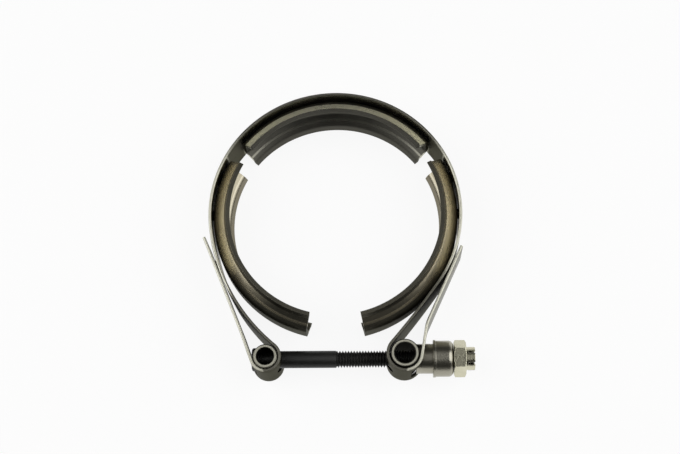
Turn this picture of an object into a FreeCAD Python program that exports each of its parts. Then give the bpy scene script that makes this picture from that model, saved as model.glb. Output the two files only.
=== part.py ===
import FreeCAD, Part
import math
import os
import Sketcher

# V-band exhaust clamp with a trunnion-mounted bolt, lying flat.
# The ring axis is Z, the ring is centred on the origin, and the band runs from -Z to +Z
# by half its width. The bolt runs along X below the ring, with the nut on the +X side.

SIZES = {
    # Strap: one strip, bent round the ring and back on itself at both loops.
    "band_radius": 45.0,
    "strap_thickness": 1.0,
    "band_width": 19.0,
    # Loops: centres of the two trunnion loops, and their centreline radii. The bolt-side
    # loop hangs a little lower below the band than the bolt, the nut-side loop a little higher.
    "bolt_drop": 6.4,
    "loop_spread": 24.1,
    "bolt_loop_drop": 6.9,
    "nut_loop_drop": 6.0,
    "bolt_loop_radius": 5.0,
    "nut_loop_radius": 5.9,
    # The strap leaves the ring on a wider arc on its way down to each loop.
    "bolt_side_bow": 66.0,
    "nut_side_bow": 300.0,
    # Tails: the doubled-back ends, each with a slight kink above its loop.
    "bolt_tail_gap": 0.9,
    "nut_tail_gap": 0.35,
    "bolt_tail_kink": 2.0,
    "nut_tail_kink": 15.0,
    "tail_bend_radius": 12.0,
    "bolt_bend_rise": 4.5,
    "nut_bend_rise": 6.8,
    "bolt_tail_end": 9.2,
    "nut_tail_end": 13.0,
    # Openings through the strap for the bolt, its head and the sleeve.
    "bolt_slot_height": 9.0,
    "bolt_slot_width": 7.2,
    "head_slot_height": 9.6,
    "head_slot_width": 9.6,
    "head_slot_near": 2.5,
    "head_slot_far": 12.0,
    "sleeve_slot_width": 11.2,
    "sleeve_slot_top": 9.8,
    "sleeve_slot_bottom": 5.6,
    "sleeve_slot_near": 2.2,
    "sleeve_slot_lean": 3.2,
    "sleeve_slot_far": 14.0,
    # Spot welds between the strap, its tails and the upper V segment.
    "weld_size": 4.0,
    "weld_count": 4,
    "weld_spread": 72.0,
    "tail_weld_angle": 23.0,
    # V segments: formed sheet, open towards the ring axis.
    "segment_gap": 0.3,
    "sheet_thickness": 1.5,
    "crown_half_width": 3.2,
    "crown_bend": 1.0,
    "flange_angle": 38.0,
    "root_bend": 0.8,
    "lip_angle": 22.0,
    "flange_depth": 6.2,
    "lip_half_width": 9.2,
    "lip_land": 0.5,
    "top_span": 101.6,
    "side_span": 105.1,
    "joint_gap": 10.5,
    "bottom_opening": 27.2,
    # Trunnion tubes in the two loops.
    "tube_length": 18.4,
    "tube_chamfer": 0.35,
    "bolt_tube_diameter": 8.4,
    "bolt_tube_bore": 6.2,
    "nut_tube_diameter": 9.8,
    "nut_tube_bore": 7.2,
    # Bolt: metric six, one millimetre pitch.
    "bolt_diameter": 6.0,
    "thread_diameter": 5.9,
    "thread_start": 24.3,
    "bolt_reach": 24.2,
    "bolt_chamfer": 0.7,
    "head_diameter": 8.2,
    "head_thickness": 1.3,
    "head_seat": 3.9,
    "slide_bore": 6.6,
    # Sleeve and domed collar between the nut-side trunnion and the nut.
    "sleeve_diameter": 10.4,
    "sleeve_start": 4.0,
    "sleeve_reach": 9.9,
    "collar_diameter": 12.6,
    "collar_rim": 0.25,
    "collar_rim_length": 0.8,
    "collar_length": 7.0,
    "collar_dome": 1.7,
    # Lock nut: hexagon with a slotted locking collar.
    "nut_gap": 0.2,
    "nut_flats": 11.25,
    "hex_length": 4.2,
    "lock_diameter": 8.1,
    "lock_length": 3.1,
    "nut_bore": 6.2,
    "nut_chamfer": 0.75,
    "lock_slot_width": 0.9,
    "lock_slot_depth": 2.3,
    "nut_clock": 36.0,
}

doc = FreeCAD.newDocument("VBandClamp")
sheet = doc.addObject("Spreadsheet::Sheet", "Sizes")
for row, (alias, value) in enumerate(SIZES.items(), start=1):
    sheet.set("A%d" % row, alias)
    sheet.set("B%d" % row, repr(value))
    sheet.setAlias("B%d" % row, alias)
doc.recompute()


def size(alias):
    """Return the number that the sheet holds under an alias."""
    return float(sheet.get(alias))


def new_body(label):
    """Add a body whose label is also the name of its node."""
    body = doc.addObject("PartDesign::Body", label)
    body.Label = label
    return body


def origin_item(body, role):
    """Return a body's own origin plane or axis by its role."""
    for item in body.Origin.OriginFeatures:
        if item.Role == role:
            return item
    raise ValueError(role)


def new_sketch(body, name, role):
    """Add a sketch lying on one of the body's origin planes."""
    sketch = body.newObject("Sketcher::SketchObject", name)
    sketch.AttachmentSupport = [(origin_item(body, role), "")]
    sketch.MapMode = "FlatFace"
    return sketch


def bind(sketch, name, constraint, expression):
    """Add a named dimension to a sketch and drive it from the sheet."""
    index = sketch.addConstraint(constraint)
    sketch.renameConstraint(index, name)
    sketch.setExpression("Constraints." + name, expression)


def add_pad(body, sketch, name, expression):
    """Extrude a sketch to both sides of its plane."""
    pad = body.newObject("PartDesign::Pad", name)
    pad.Profile = sketch
    pad.SideType = "Symmetric"
    pad.setExpression("Length", expression)
    return pad


def add_pocket(body, sketch, name, expression):
    """Cut a sketch to both sides of its plane."""
    pocket = body.newObject("PartDesign::Pocket", name)
    pocket.Profile = sketch
    pocket.SideType = "Symmetric"
    pocket.setExpression("Length", expression)
    return pocket


def add_turn(body, sketch, name, axis):
    """Turn a sketch through a full circle about one of its own axes."""
    turn = body.newObject("PartDesign::Revolution", name)
    turn.Profile = sketch
    turn.ReferenceAxis = (sketch, [axis])
    turn.Angle = 360.0
    return turn


def add_polar(body, feature, name, role, count, angle):
    """Repeat a feature about one of the body's origin axes."""
    pattern = body.newObject("PartDesign::PolarPattern", name)
    pattern.Originals = [feature]
    pattern.Axis = (origin_item(body, role), [""])
    pattern.setExpression("Occurrences", count)
    pattern.setExpression("Angle", angle)
    body.Tip = pattern
    return pattern


class Chain:
    """A closed run of lines and arcs in a sketch, drawn end to end."""

    def __init__(self, sketch):
        self.sketch = sketch
        self.items = []

    def line(self, start, end):
        """Draw a straight line and return its index in the sketch."""
        shape = Part.LineSegment(FreeCAD.Vector(*start, 0), FreeCAD.Vector(*end, 0))
        index = self.sketch.addGeometry(shape)
        self.items.append((index, 1, 2))
        return index

    def arc(self, centre, start, end, left):
        """Draw an arc that turns left or right and return its index."""
        radius = math.hypot(start[0] - centre[0], start[1] - centre[1])
        circle = Part.Circle(FreeCAD.Vector(*centre, 0), FreeCAD.Vector(0, 0, 1), radius)
        first = math.atan2(start[1] - centre[1], start[0] - centre[0])
        last = math.atan2(end[1] - centre[1], end[0] - centre[0])
        if not left:
            first, last = last, first
        if last <= first:
            last += 2.0 * math.pi
        index = self.sketch.addGeometry(Part.ArcOfCircle(circle, first, last))
        self.items.append((index, 1, 2) if left else (index, 2, 1))
        return index

    def close(self, smooth=()):
        """Join every end to the next start, tangent at the listed joints."""
        for place, (index, _, end) in enumerate(self.items):
            other, start, _ = self.items[(place + 1) % len(self.items)]
            kind = "Tangent" if place in smooth else "Coincident"
            self.sketch.addConstraint(Sketcher.Constraint(kind, index, end, other, start))


def polygon(sketch, points):
    """Draw a closed polygon and return the indices of its sides."""
    chain = Chain(sketch)
    lines = []
    for place, point in enumerate(points):
        lines.append(chain.line(point, points[(place + 1) % len(points)]))
    chain.close()
    return lines


def level(sketch, flat=(), upright=()):
    """Keep the listed lines parallel to the sketch's two axes."""
    for index in flat:
        sketch.addConstraint(Sketcher.Constraint("Horizontal", index))
    for index in upright:
        sketch.addConstraint(Sketcher.Constraint("Vertical", index))


def set_x(sketch, name, index, end, value, expression):
    """Dimension a point across from the sketch's origin, on either side."""
    if value < 0:
        constraint = Sketcher.Constraint("DistanceX", index, end, -1, 1, -value)
    else:
        constraint = Sketcher.Constraint("DistanceX", -1, 1, index, end, value)
    bind(sketch, name, constraint, expression)


def set_y(sketch, name, index, end, value, expression):
    """Dimension a point up or down from the sketch's origin."""
    if value < 0:
        constraint = Sketcher.Constraint("DistanceY", index, end, -1, 1, -value)
    else:
        constraint = Sketcher.Constraint("DistanceY", -1, 1, index, end, value)
    bind(sketch, name, constraint, expression)


# Derived lengths, as formulas over the sheet. bolt_level is the bolt axis below the ring
# axis, loop_spread is each loop's centre to the side of it, and crown_outer is the outside
# of the V segments.
BOLT_LEVEL = "(Sizes.band_radius + Sizes.bolt_drop)"
LOOP_LEVEL = "(Sizes.band_radius + Sizes.%s_loop_drop)"
CROWN_OUTER = "(Sizes.band_radius - Sizes.strap_thickness - Sizes.segment_gap)"
TIP_RADIUS = "(Sizes.band_radius - Sizes.strap_thickness - Sizes.segment_gap - Sizes.flange_depth)"

bolt_level = size("band_radius") + size("bolt_drop")
loop_spread = size("loop_spread")
crown_outer = size("band_radius") - size("strap_thickness") - size("segment_gap")


def toward(angle, length):
    """Return the vector of a length at an angle."""
    return (length * math.cos(angle), length * math.sin(angle))


def plus(*vectors):
    """Return the sum of plane vectors."""
    return (sum(v[0] for v in vectors), sum(v[1] for v in vectors))


def strap_path(prefix):
    """Work out where one side's centreline is tangent, on the +X side.

    The run is the ring, a shallow bow, the loop, a straight, a kink and the tail.
    """
    loop_radius = size(prefix + "_loop_radius")
    bow = size(prefix + "_side_bow")
    kink = math.radians(size(prefix + "_tail_kink"))
    level_below = size("band_radius") + size(prefix + "_loop_drop")
    half = size("strap_thickness") / 2.0
    ring = size("band_radius") - half
    loop = (loop_spread, -level_below)
    reach = math.hypot(*loop)
    near = bow - ring
    far = bow + loop_radius
    spread = math.acos((near * near + reach * reach - far * far) / (2.0 * near * reach))
    bow_centre = toward(math.atan2(loop[1], loop[0]) - spread, near)
    leave = math.atan2(-bow_centre[1], -bow_centre[0])
    onto = math.atan2(loop[1] - bow_centre[1], loop[0] - bow_centre[0])
    bend = size("tail_bend_radius")
    offset = size("band_radius") + size(prefix + "_tail_gap") + half
    bend_level = level_below - size(prefix + "_bend_rise")

    def bend_centre(angle):
        foot = toward(angle - math.pi / 2.0, offset + bend)
        slide = (-bend_level - foot[1]) / math.sin(angle)
        return plus(foot, toward(angle, slide))

    def error(angle):
        centre = bend_centre(angle)
        normal = toward(angle + kink - math.pi / 2.0, 1.0)
        along = (centre[0] - loop[0]) * normal[0] + (centre[1] - loop[1]) * normal[1]
        return along - (loop_radius + bend)

    low = math.radians(50.0)
    high = math.radians(85.0)
    for _ in range(60):
        middle = (low + high) / 2.0
        if error(low) * error(middle) <= 0.0:
            high = middle
        else:
            low = middle
    tail = (low + high) / 2.0
    return {
        "ring": ring, "loop": loop, "bow_centre": bow_centre, "leave": leave, "onto": onto,
        "bend_centre": bend_centre(tail), "tail": tail, "offset": offset, "half": half,
        "up": tail + kink, "bend": bend, "end": size(prefix + "_tail_end"),
    }


def strap_half(body, name, side, prefix):
    """Sketch half of the strap's edge outline: side is +1 for the nut side, -1 for the bolt side."""
    loop_radius = size(prefix + "_loop_radius")
    bow = size(prefix + "_side_bow")
    kink = math.radians(size(prefix + "_tail_kink"))
    path = strap_path(prefix)
    sketch = new_sketch(body, name, "XY_Plane")
    chain = Chain(sketch)

    def at(point):
        return (side * point[0], point[1])

    def line(start, end):
        return chain.line(at(start), at(end))

    def arc(centre, start, end, left):
        return chain.arc(at(centre), at(start), at(end), left if side > 0 else not left)

    quarter = math.pi / 2.0
    ids = []
    corners = []
    # The outer face of the ring runs on as the inner face of the loop, so the first pass
    # is offset outwards and the second pass inwards.
    for shift in (path["half"], -path["half"]):
        top = (0.0, path["ring"] + shift)
        leave = toward(path["leave"], path["ring"] + shift)
        onto = plus(path["bow_centre"], toward(path["onto"], bow + shift))
        off = plus(path["loop"], toward(path["up"] - quarter, loop_radius - shift))
        kink_low = plus(path["bend_centre"], toward(path["up"] + quarter, path["bend"] + shift))
        kink_high = plus(path["bend_centre"], toward(path["tail"] + quarter, path["bend"] + shift))
        foot = toward(path["tail"] - quarter, path["offset"] - shift)
        mark = -path["end"] - shift * math.cos(path["tail"])
        tip = plus(foot, toward(path["tail"], (mark - foot[1]) / math.sin(path["tail"])))
        corners.append((top, leave, onto, off, kink_low, kink_high, tip))
    outer, inner = corners
    centre = (0.0, 0.0)
    ids.append(arc(centre, outer[0], outer[1], False))
    ids.append(arc(path["bow_centre"], outer[1], outer[2], False))
    ids.append(arc(path["loop"], outer[2], outer[3], True))
    ids.append(line(outer[3], outer[4]))
    ids.append(arc(path["bend_centre"], outer[4], outer[5], False))
    ids.append(line(outer[5], outer[6]))
    cap = line(outer[6], inner[6])
    ids.append(line(inner[6], inner[5]))
    ids.append(arc(path["bend_centre"], inner[5], inner[4], True))
    ids.append(line(inner[4], inner[3]))
    ids.append(arc(path["loop"], inner[3], inner[2], False))
    ids.append(arc(path["bow_centre"], inner[2], inner[1], True))
    ids.append(arc(centre, inner[1], inner[0], True))
    middle = line(inner[0], outer[0])
    chain.close(smooth=(0, 1, 2, 3, 4, 7, 8, 9, 10, 11))
    (ring_a, bow_a, loop_a, up_a, bend_a, tail_a,
     tail_b, bend_b, up_b, loop_b, bow_b, ring_b) = ids
    add = sketch.addConstraint
    add(Sketcher.Constraint("Coincident", ring_a, 3, -1, 1))
    add(Sketcher.Constraint("Coincident", ring_b, 3, -1, 1))
    add(Sketcher.Constraint("Coincident", bow_a, 3, bow_b, 3))
    add(Sketcher.Constraint("Coincident", loop_a, 3, loop_b, 3))
    add(Sketcher.Constraint("Coincident", bend_a, 3, bend_b, 3))
    add(Sketcher.Constraint("Parallel", tail_a, tail_b))
    add(Sketcher.Constraint("Perpendicular", tail_a, cap))
    add(Sketcher.Constraint("PointOnObject", middle, 1, -2))
    add(Sketcher.Constraint("PointOnObject", middle, 2, -2))
    radius = "Radius"
    half = path["half"]
    bind(sketch, "ring_outer", Sketcher.Constraint(radius, ring_a, path["ring"] + half),
         "Sizes.band_radius")
    bind(sketch, "ring_inner", Sketcher.Constraint(radius, ring_b, path["ring"] - half),
         "Sizes.band_radius - Sizes.strap_thickness")
    bind(sketch, "bow_outer", Sketcher.Constraint(radius, bow_a, bow + half),
         "Sizes." + prefix + "_side_bow + Sizes.strap_thickness / 2")
    bind(sketch, "loop_inside", Sketcher.Constraint(radius, loop_a, loop_radius - half),
         "Sizes." + prefix + "_loop_radius - Sizes.strap_thickness / 2")
    bind(sketch, "bend_wide", Sketcher.Constraint(radius, bend_a, path["bend"] + half),
         "Sizes.tail_bend_radius + Sizes.strap_thickness / 2")
    bind(sketch, "bend_tight", Sketcher.Constraint(radius, bend_b, path["bend"] - half),
         "Sizes.tail_bend_radius - Sizes.strap_thickness / 2")
    set_x(sketch, "loop_across", loop_a, 3, side * loop_spread, "Sizes.loop_spread")
    set_y(sketch, "loop_down", loop_a, 3, path["loop"][1], LOOP_LEVEL % prefix)
    set_y(sketch, "bend_down", bend_a, 3, path["bend_centre"][1],
          LOOP_LEVEL % prefix + " - Sizes." + prefix + "_bend_rise")
    bind(sketch, "kink_angle", Sketcher.Constraint("Angle", bend_a, kink),
         "Sizes." + prefix + "_tail_kink")
    bind(sketch, "tail_stand_off",
         Sketcher.Constraint("Distance", -1, 1, tail_a, path["offset"] - half),
         "Sizes.band_radius + Sizes." + prefix + "_tail_gap")
    set_y(sketch, "tail_end_down", tail_a, chain.items[5][2], outer[6][1],
          "Sizes." + prefix + "_tail_end + Sizes.strap_thickness / 2 * %.4f"
          % math.cos(path["tail"]))
    return sketch


def sector(sketch, angle, inner, outer, inner_expr, outer_expr, angle_expr):
    """Sketch a small piece of a ring about the origin: one spot weld seen from above."""
    half_turn = math.asin(size("weld_size") / 2.0 / size("band_radius"))
    low = angle - half_turn
    high = angle + half_turn
    chain = Chain(sketch)
    inside = chain.arc((0.0, 0.0), toward(low, inner), toward(high, inner), True)
    first = chain.line(toward(high, inner), toward(high, outer))
    outside = chain.arc((0.0, 0.0), toward(high, outer), toward(low, outer), False)
    last = chain.line(toward(low, outer), toward(low, inner))
    chain.close()
    add = sketch.addConstraint
    add(Sketcher.Constraint("Coincident", inside, 3, -1, 1))
    add(Sketcher.Constraint("Coincident", outside, 3, -1, 1))
    add(Sketcher.Constraint("PointOnObject", -1, 1, first))
    add(Sketcher.Constraint("PointOnObject", -1, 1, last))
    bind(sketch, "weld_inside", Sketcher.Constraint("Radius", inside, inner), inner_expr)
    bind(sketch, "weld_outside", Sketcher.Constraint("Radius", outside, outer), outer_expr)
    bind(sketch, "weld_turn", Sketcher.Constraint("Angle", inside, 2.0 * half_turn),
         "2 * asin(Sizes.weld_size / 2 / Sizes.band_radius)")
    bind(sketch, "weld_place", Sketcher.Constraint("Angle", first, high % (2.0 * math.pi)),
         "(" + angle_expr + ") * 1 deg + asin(Sizes.weld_size / 2 / Sizes.band_radius)")


def make_band():
    """The strap: ring, two loops, two tails, their slots and the spot welds."""
    body = new_body("band")
    nut_half = strap_half(body, "NutHalfOutline", 1, "nut")
    add_pad(body, nut_half, "NutHalf", "Sizes.band_width")
    bolt_half = strap_half(body, "BoltHalfOutline", -1, "bolt")
    add_pad(body, bolt_half, "BoltHalf", "Sizes.band_width")

    # One weld of the upper segment, repeated round the ring.
    weld = new_sketch(body, "SegmentWeldOutline", "XY_Plane")
    start = 90.0 - size("weld_spread") / 2.0
    sector(weld, math.radians(start), crown_outer, size("band_radius") - 0.5,
           CROWN_OUTER, "Sizes.band_radius - Sizes.strap_thickness / 2",
           "90 - Sizes.weld_spread / 2")
    nugget = add_pad(body, weld, "SegmentWeld", "Sizes.weld_size")
    add_polar(body, nugget, "SegmentWelds", "Z_Axis", "Sizes.weld_count", "Sizes.weld_spread")

    # One weld under each tail, where the tail passes closest to the ring.
    for name, prefix, base, sign in (("Nut", "nut", 360.0, -1.0), ("Bolt", "bolt", 180.0, 1.0)):
        tail = new_sketch(body, name + "TailWeldOutline", "XY_Plane")
        place = base + sign * size("tail_weld_angle")
        outer = size("band_radius") + size(prefix + "_tail_gap") + 0.5
        sector(tail, math.radians(place), size("band_radius") - 0.5, outer,
               "Sizes.band_radius - Sizes.strap_thickness / 2",
               "Sizes.band_radius + Sizes.%s_tail_gap + Sizes.strap_thickness / 2" % prefix,
               "%d %s Sizes.tail_weld_angle" % (base, "+" if sign > 0 else "-"))
        add_pad(body, tail, name + "TailWeld", "Sizes.weld_size")

    # The bolt passes through the inner side of both loops.
    slot = new_sketch(body, "BoltSlotOutline", "YZ_Plane")
    tall = size("bolt_slot_height") / 2.0
    wide = size("bolt_slot_width") / 2.0
    flat = tall - wide
    chain = Chain(slot)
    edge = chain.line((-bolt_level - flat, -wide), (-bolt_level + flat, -wide))
    right = chain.arc((-bolt_level + flat, 0.0), (-bolt_level + flat, -wide),
                      (-bolt_level + flat, wide), True)
    chain.line((-bolt_level + flat, wide), (-bolt_level - flat, wide))
    left = chain.arc((-bolt_level - flat, 0.0), (-bolt_level - flat, wide),
                     (-bolt_level - flat, -wide), True)
    chain.close(smooth=(0, 1, 2, 3))
    level(slot, flat=(edge,))
    add = slot.addConstraint
    add(Sketcher.Constraint("PointOnObject", right, 3, -1))
    add(Sketcher.Constraint("PointOnObject", left, 3, -1))
    bind(slot, "end_radius", Sketcher.Constraint("Radius", right, wide),
         "Sizes.bolt_slot_width / 2")
    set_x(slot, "slot_top", right, 3, -bolt_level + flat,
          BOLT_LEVEL + " - (Sizes.bolt_slot_height - Sizes.bolt_slot_width) / 2")
    set_x(slot, "slot_bottom", left, 3, -bolt_level - flat,
          BOLT_LEVEL + " + (Sizes.bolt_slot_height - Sizes.bolt_slot_width) / 2")
    add_pocket(body, slot, "BoltSlots", "2 * Sizes.loop_spread")

    # The bolt's head stands in a window in the bolt-side tail.
    head = new_sketch(body, "HeadWindowOutline", "XY_Plane")
    near = -loop_spread - size("head_slot_near")
    far = -loop_spread - size("head_slot_far")
    high = -bolt_level + size("head_slot_height") / 2.0
    low = -bolt_level - size("head_slot_height") / 2.0
    sides = polygon(head, [(near, low), (near, high), (far, high), (far, low)])
    level(head, flat=(sides[1], sides[3]), upright=(sides[0], sides[2]))
    set_x(head, "near_side", sides[0], 1, near, "Sizes.loop_spread + Sizes.head_slot_near")
    set_x(head, "far_side", sides[2], 1, far, "Sizes.loop_spread + Sizes.head_slot_far")
    set_y(head, "window_top", sides[1], 1, high,
          BOLT_LEVEL + " - Sizes.head_slot_height / 2")
    set_y(head, "window_bottom", sides[3], 1, low,
          BOLT_LEVEL + " + Sizes.head_slot_height / 2")
    add_pocket(body, head, "HeadWindow", "Sizes.head_slot_width")

    # The sleeve reaches its tube through a taller window in the nut-side tail, which leaves
    # two edge strips; the window's inner side leans away from the strap above it.
    window = new_sketch(body, "SleeveWindowOutline", "XY_Plane")
    inner_low = (loop_spread + size("sleeve_slot_near"),
                 -bolt_level - size("sleeve_slot_bottom"))
    inner_high = (inner_low[0] + size("sleeve_slot_lean"),
                  -bolt_level + size("sleeve_slot_top"))
    side_x = loop_spread + size("sleeve_slot_far")
    sides = polygon(window, [inner_low, (side_x, inner_low[1]), (side_x, inner_high[1]),
                             inner_high])
    level(window, flat=(sides[0], sides[2]), upright=(sides[1],))
    set_x(window, "inner_foot", sides[0], 1, inner_low[0],
          "Sizes.loop_spread + Sizes.sleeve_slot_near")
    set_x(window, "inner_head", sides[2], 2, inner_high[0],
          "Sizes.loop_spread + Sizes.sleeve_slot_near + Sizes.sleeve_slot_lean")
    set_x(window, "outer_side", sides[1], 1, side_x,
          "Sizes.loop_spread + Sizes.sleeve_slot_far")
    set_y(window, "window_bottom", sides[0], 1, inner_low[1],
          BOLT_LEVEL + " + Sizes.sleeve_slot_bottom")
    set_y(window, "window_top", sides[2], 1, inner_high[1],
          BOLT_LEVEL + " - Sizes.sleeve_slot_top")
    add_pocket(body, window, "SleeveWindow", "Sizes.sleeve_slot_width")
    return body


def make_segment(label, span, centre):
    """A V segment: half of its section, turned through its span and mirrored."""
    body = new_body(label)
    sketch = new_sketch(body, label + "_section", "XZ_Plane")
    sheet_metal = size("sheet_thickness")
    crown = size("crown_bend")
    root = size("root_bend")
    flange = math.pi - math.radians(size("flange_angle"))
    lip = math.pi / 2.0 + math.radians(size("lip_angle"))
    quarter = math.pi / 2.0
    rim = size("lip_half_width")
    tip = (crown_outer - size("flange_depth"), rim - size("lip_land"))
    first = (crown_outer - sheet_metal - crown, size("crown_half_width"))
    # The second bend's centre lies outside both the flange's and the lip's inner faces.
    reach = root + sheet_metal
    start = plus(first, toward(flange - quarter, crown), toward(flange - quarter, reach))
    ahead = toward(flange, 1.0)
    face = plus(tip, toward(lip - quarter, reach))
    along = toward(lip, 1.0)
    cross = ahead[0] * along[1] - ahead[1] * along[0]
    run = ((face[0] - start[0]) * along[1] - (face[1] - start[1]) * along[0]) / cross
    second = plus(start, toward(flange, run))
    start = plus(first, toward(flange - quarter, crown))

    chain = Chain(sketch)
    outer_first = crown + sheet_metal
    outer_start = plus(first, (outer_first, 0.0))
    outer_bend = plus(first, toward(flange - quarter, outer_first))
    root_in = plus(second, toward(flange + quarter, root))
    root_out = plus(second, toward(lip + quarter, root))
    corner = plus(root_out, toward(lip, (rim - root_out[1]) / math.sin(lip)))
    lip_foot = plus(second, toward(lip + quarter, reach))
    flange_end = plus(second, toward(flange + quarter, reach))
    inner_bend = plus(first, toward(flange - quarter, crown))
    inner_start = plus(first, (crown, 0.0))
    crown_a = chain.line((crown_outer, 0.0), outer_start)
    bend_a = chain.arc(first, outer_start, outer_bend, True)
    flange_a = chain.line(outer_bend, root_in)
    root_a = chain.arc(second, root_in, root_out, False)
    lip_a = chain.line(root_out, corner)
    edge = chain.line(corner, (tip[0], rim))
    land = chain.line((tip[0], rim), tip)
    lip_b = chain.line(tip, lip_foot)
    root_b = chain.arc(second, lip_foot, flange_end, True)
    chain.line(flange_end, inner_bend)
    bend_b = chain.arc(first, inner_bend, inner_start, False)
    crown_b = chain.line(inner_start, (inner_start[0], 0.0))
    base = chain.line((inner_start[0], 0.0), (crown_outer, 0.0))
    chain.close(smooth=(0, 1, 2, 3, 7, 8, 9, 10))
    add = sketch.addConstraint
    add(Sketcher.Constraint("Coincident", bend_a, 3, bend_b, 3))
    add(Sketcher.Constraint("Coincident", root_a, 3, root_b, 3))
    add(Sketcher.Constraint("Parallel", lip_a, lip_b))
    add(Sketcher.Constraint("PointOnObject", base, 1, -1))
    add(Sketcher.Constraint("PointOnObject", base, 2, -1))
    level(sketch, flat=(edge,), upright=(crown_a, land, crown_b))
    bind(sketch, "crown_outside", Sketcher.Constraint("Radius", bend_a, outer_first),
         "Sizes.crown_bend + Sizes.sheet_thickness")
    bind(sketch, "crown_inside", Sketcher.Constraint("Radius", bend_b, crown),
         "Sizes.crown_bend")
    bind(sketch, "root_outside", Sketcher.Constraint("Radius", root_a, root),
         "Sizes.root_bend")
    bind(sketch, "root_inside", Sketcher.Constraint("Radius", root_b, reach),
         "Sizes.root_bend + Sizes.sheet_thickness")
    bind(sketch, "flange_slope", Sketcher.Constraint("Angle", flange_a, flange),
         "180 - Sizes.flange_angle")
    bind(sketch, "lip_slope", Sketcher.Constraint("Angle", lip_a, lip),
         "90 + Sizes.lip_angle")
    set_x(sketch, "crown_radius", crown_a, 1, crown_outer, CROWN_OUTER)
    set_y(sketch, "crown_flat", bend_a, 3, first[1], "Sizes.crown_half_width")
    set_x(sketch, "tip_radius", land, 1, tip[0], TIP_RADIUS)
    set_y(sketch, "rim_height", land, 1, rim, "Sizes.lip_half_width")
    bind(sketch, "land_length", Sketcher.Constraint("Distance", land, size("lip_land")),
         "Sizes.lip_land")
    turn = body.newObject("PartDesign::Revolution", label + "_upper_half")
    turn.Profile = sketch
    turn.ReferenceAxis = (sketch, ["V_Axis"])
    turn.Midplane = True
    turn.setExpression("Angle", span)
    mirror = body.newObject("PartDesign::Mirrored", label + "_both_halves")
    mirror.Originals = [turn]
    mirror.MirrorPlane = (origin_item(body, "XY_Plane"), [""])
    body.Tip = mirror
    body.Placement = FreeCAD.Placement(FreeCAD.Vector(0, 0, 0),
                                       FreeCAD.Rotation(FreeCAD.Vector(0, 0, 1), 1.0))
    body.setExpression("Placement.Rotation.Angle", centre)
    return body


def place_at(body, across, below=BOLT_LEVEL):
    """Put a body's origin at a distance across, on the bolt axis unless a level is given."""
    body.setExpression("Placement.Base.x", across)
    body.setExpression("Placement.Base.y", "-" + below)


def ring_section(body, name, role, inner, outer, half, chamfer, cells):
    """Sketch the section of a plain tube about the upright axis, with bevelled ends."""
    sketch = new_sketch(body, name, role)
    points = [(inner, -half), (outer - chamfer, -half), (outer, -half + chamfer),
              (outer, half - chamfer), (outer - chamfer, half), (inner, half)]
    sides = polygon(sketch, points)
    level(sketch, flat=(sides[0], sides[4]))
    add = sketch.addConstraint
    add(Sketcher.Constraint("Symmetric", sides[5], 1, sides[5], 2, -1))
    add(Sketcher.Constraint("Symmetric", sides[2], 1, sides[2], 2, -1))
    add(Sketcher.Constraint("Equal", sides[1], sides[3]))
    set_x(sketch, "bore_radius", sides[5], 1, inner, cells[0])
    set_x(sketch, "outside_radius", sides[2], 1, outer, cells[1])
    set_y(sketch, "half_length", sides[4], 1, half, "Sizes.tube_length / 2")
    bind(sketch, "bevel_across",
         Sketcher.Constraint("DistanceX", sides[3], 2, sides[3], 1, chamfer),
         "Sizes.tube_chamfer")
    bind(sketch, "bevel_up",
         Sketcher.Constraint("DistanceY", sides[3], 1, sides[3], 2, chamfer),
         "Sizes.tube_chamfer")
    return sketch


def cross_hole(body, name, radius, expression, length, prefix):
    """Bore a round hole through a tube along X, at the bolt's level."""
    sketch = new_sketch(body, name + "Outline", "YZ_Plane")
    up = size(prefix + "_loop_drop") - size("bolt_drop")
    circle = Part.Circle(FreeCAD.Vector(up, 0, 0), FreeCAD.Vector(0, 0, 1), radius)
    index = sketch.addGeometry(circle)
    sketch.addConstraint(Sketcher.Constraint("PointOnObject", index, 3, -1))
    set_x(sketch, "hole_up", index, 3, up,
          "abs(Sizes.%s_loop_drop - Sizes.bolt_drop)" % prefix)
    bind(sketch, "hole_radius", Sketcher.Constraint("Radius", index, radius), expression)
    return add_pocket(body, sketch, name, length)


def make_bolt_tube():
    """The trunnion tube in the bolt-side loop, drilled for the bolt, with a seat for its head."""
    body = new_body("bolt_tube")
    outer = size("bolt_tube_diameter") / 2.0
    inner = size("bolt_tube_bore") / 2.0
    section = ring_section(body, "BoltTubeSection", "XZ_Plane", inner, outer,
                           size("tube_length") / 2.0, size("tube_chamfer"),
                           ("Sizes.bolt_tube_bore / 2", "Sizes.bolt_tube_diameter / 2"))
    add_turn(body, section, "BoltTube", "V_Axis")
    cross_hole(body, "BoltHole", size("bolt_diameter") / 2.0, "Sizes.bolt_diameter / 2",
               "2 * Sizes.bolt_tube_diameter", "bolt")
    seat = new_sketch(body, "HeadSeatOutline", "XY_Plane")
    near = -size("head_seat")
    far = -outer - 1.0
    high = outer
    sides = polygon(seat, [(near, -high), (near, high), (far, high), (far, -high)])
    level(seat, flat=(sides[1], sides[3]), upright=(sides[2],))
    seat.addConstraint(Sketcher.Constraint("Symmetric", sides[0], 1, sides[0], 2, -1))
    set_x(seat, "seat_face", sides[0], 1, near, "Sizes.head_seat")
    set_x(seat, "outside", sides[2], 1, far, "Sizes.bolt_tube_diameter / 2 + 1")
    set_y(seat, "seat_half", sides[1], 1, high, "Sizes.bolt_tube_diameter / 2")
    add_pocket(body, seat, "HeadSeat", "Sizes.head_diameter + 0.4")
    place_at(body, "-Sizes.loop_spread", LOOP_LEVEL % "bolt")
    return body


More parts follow.
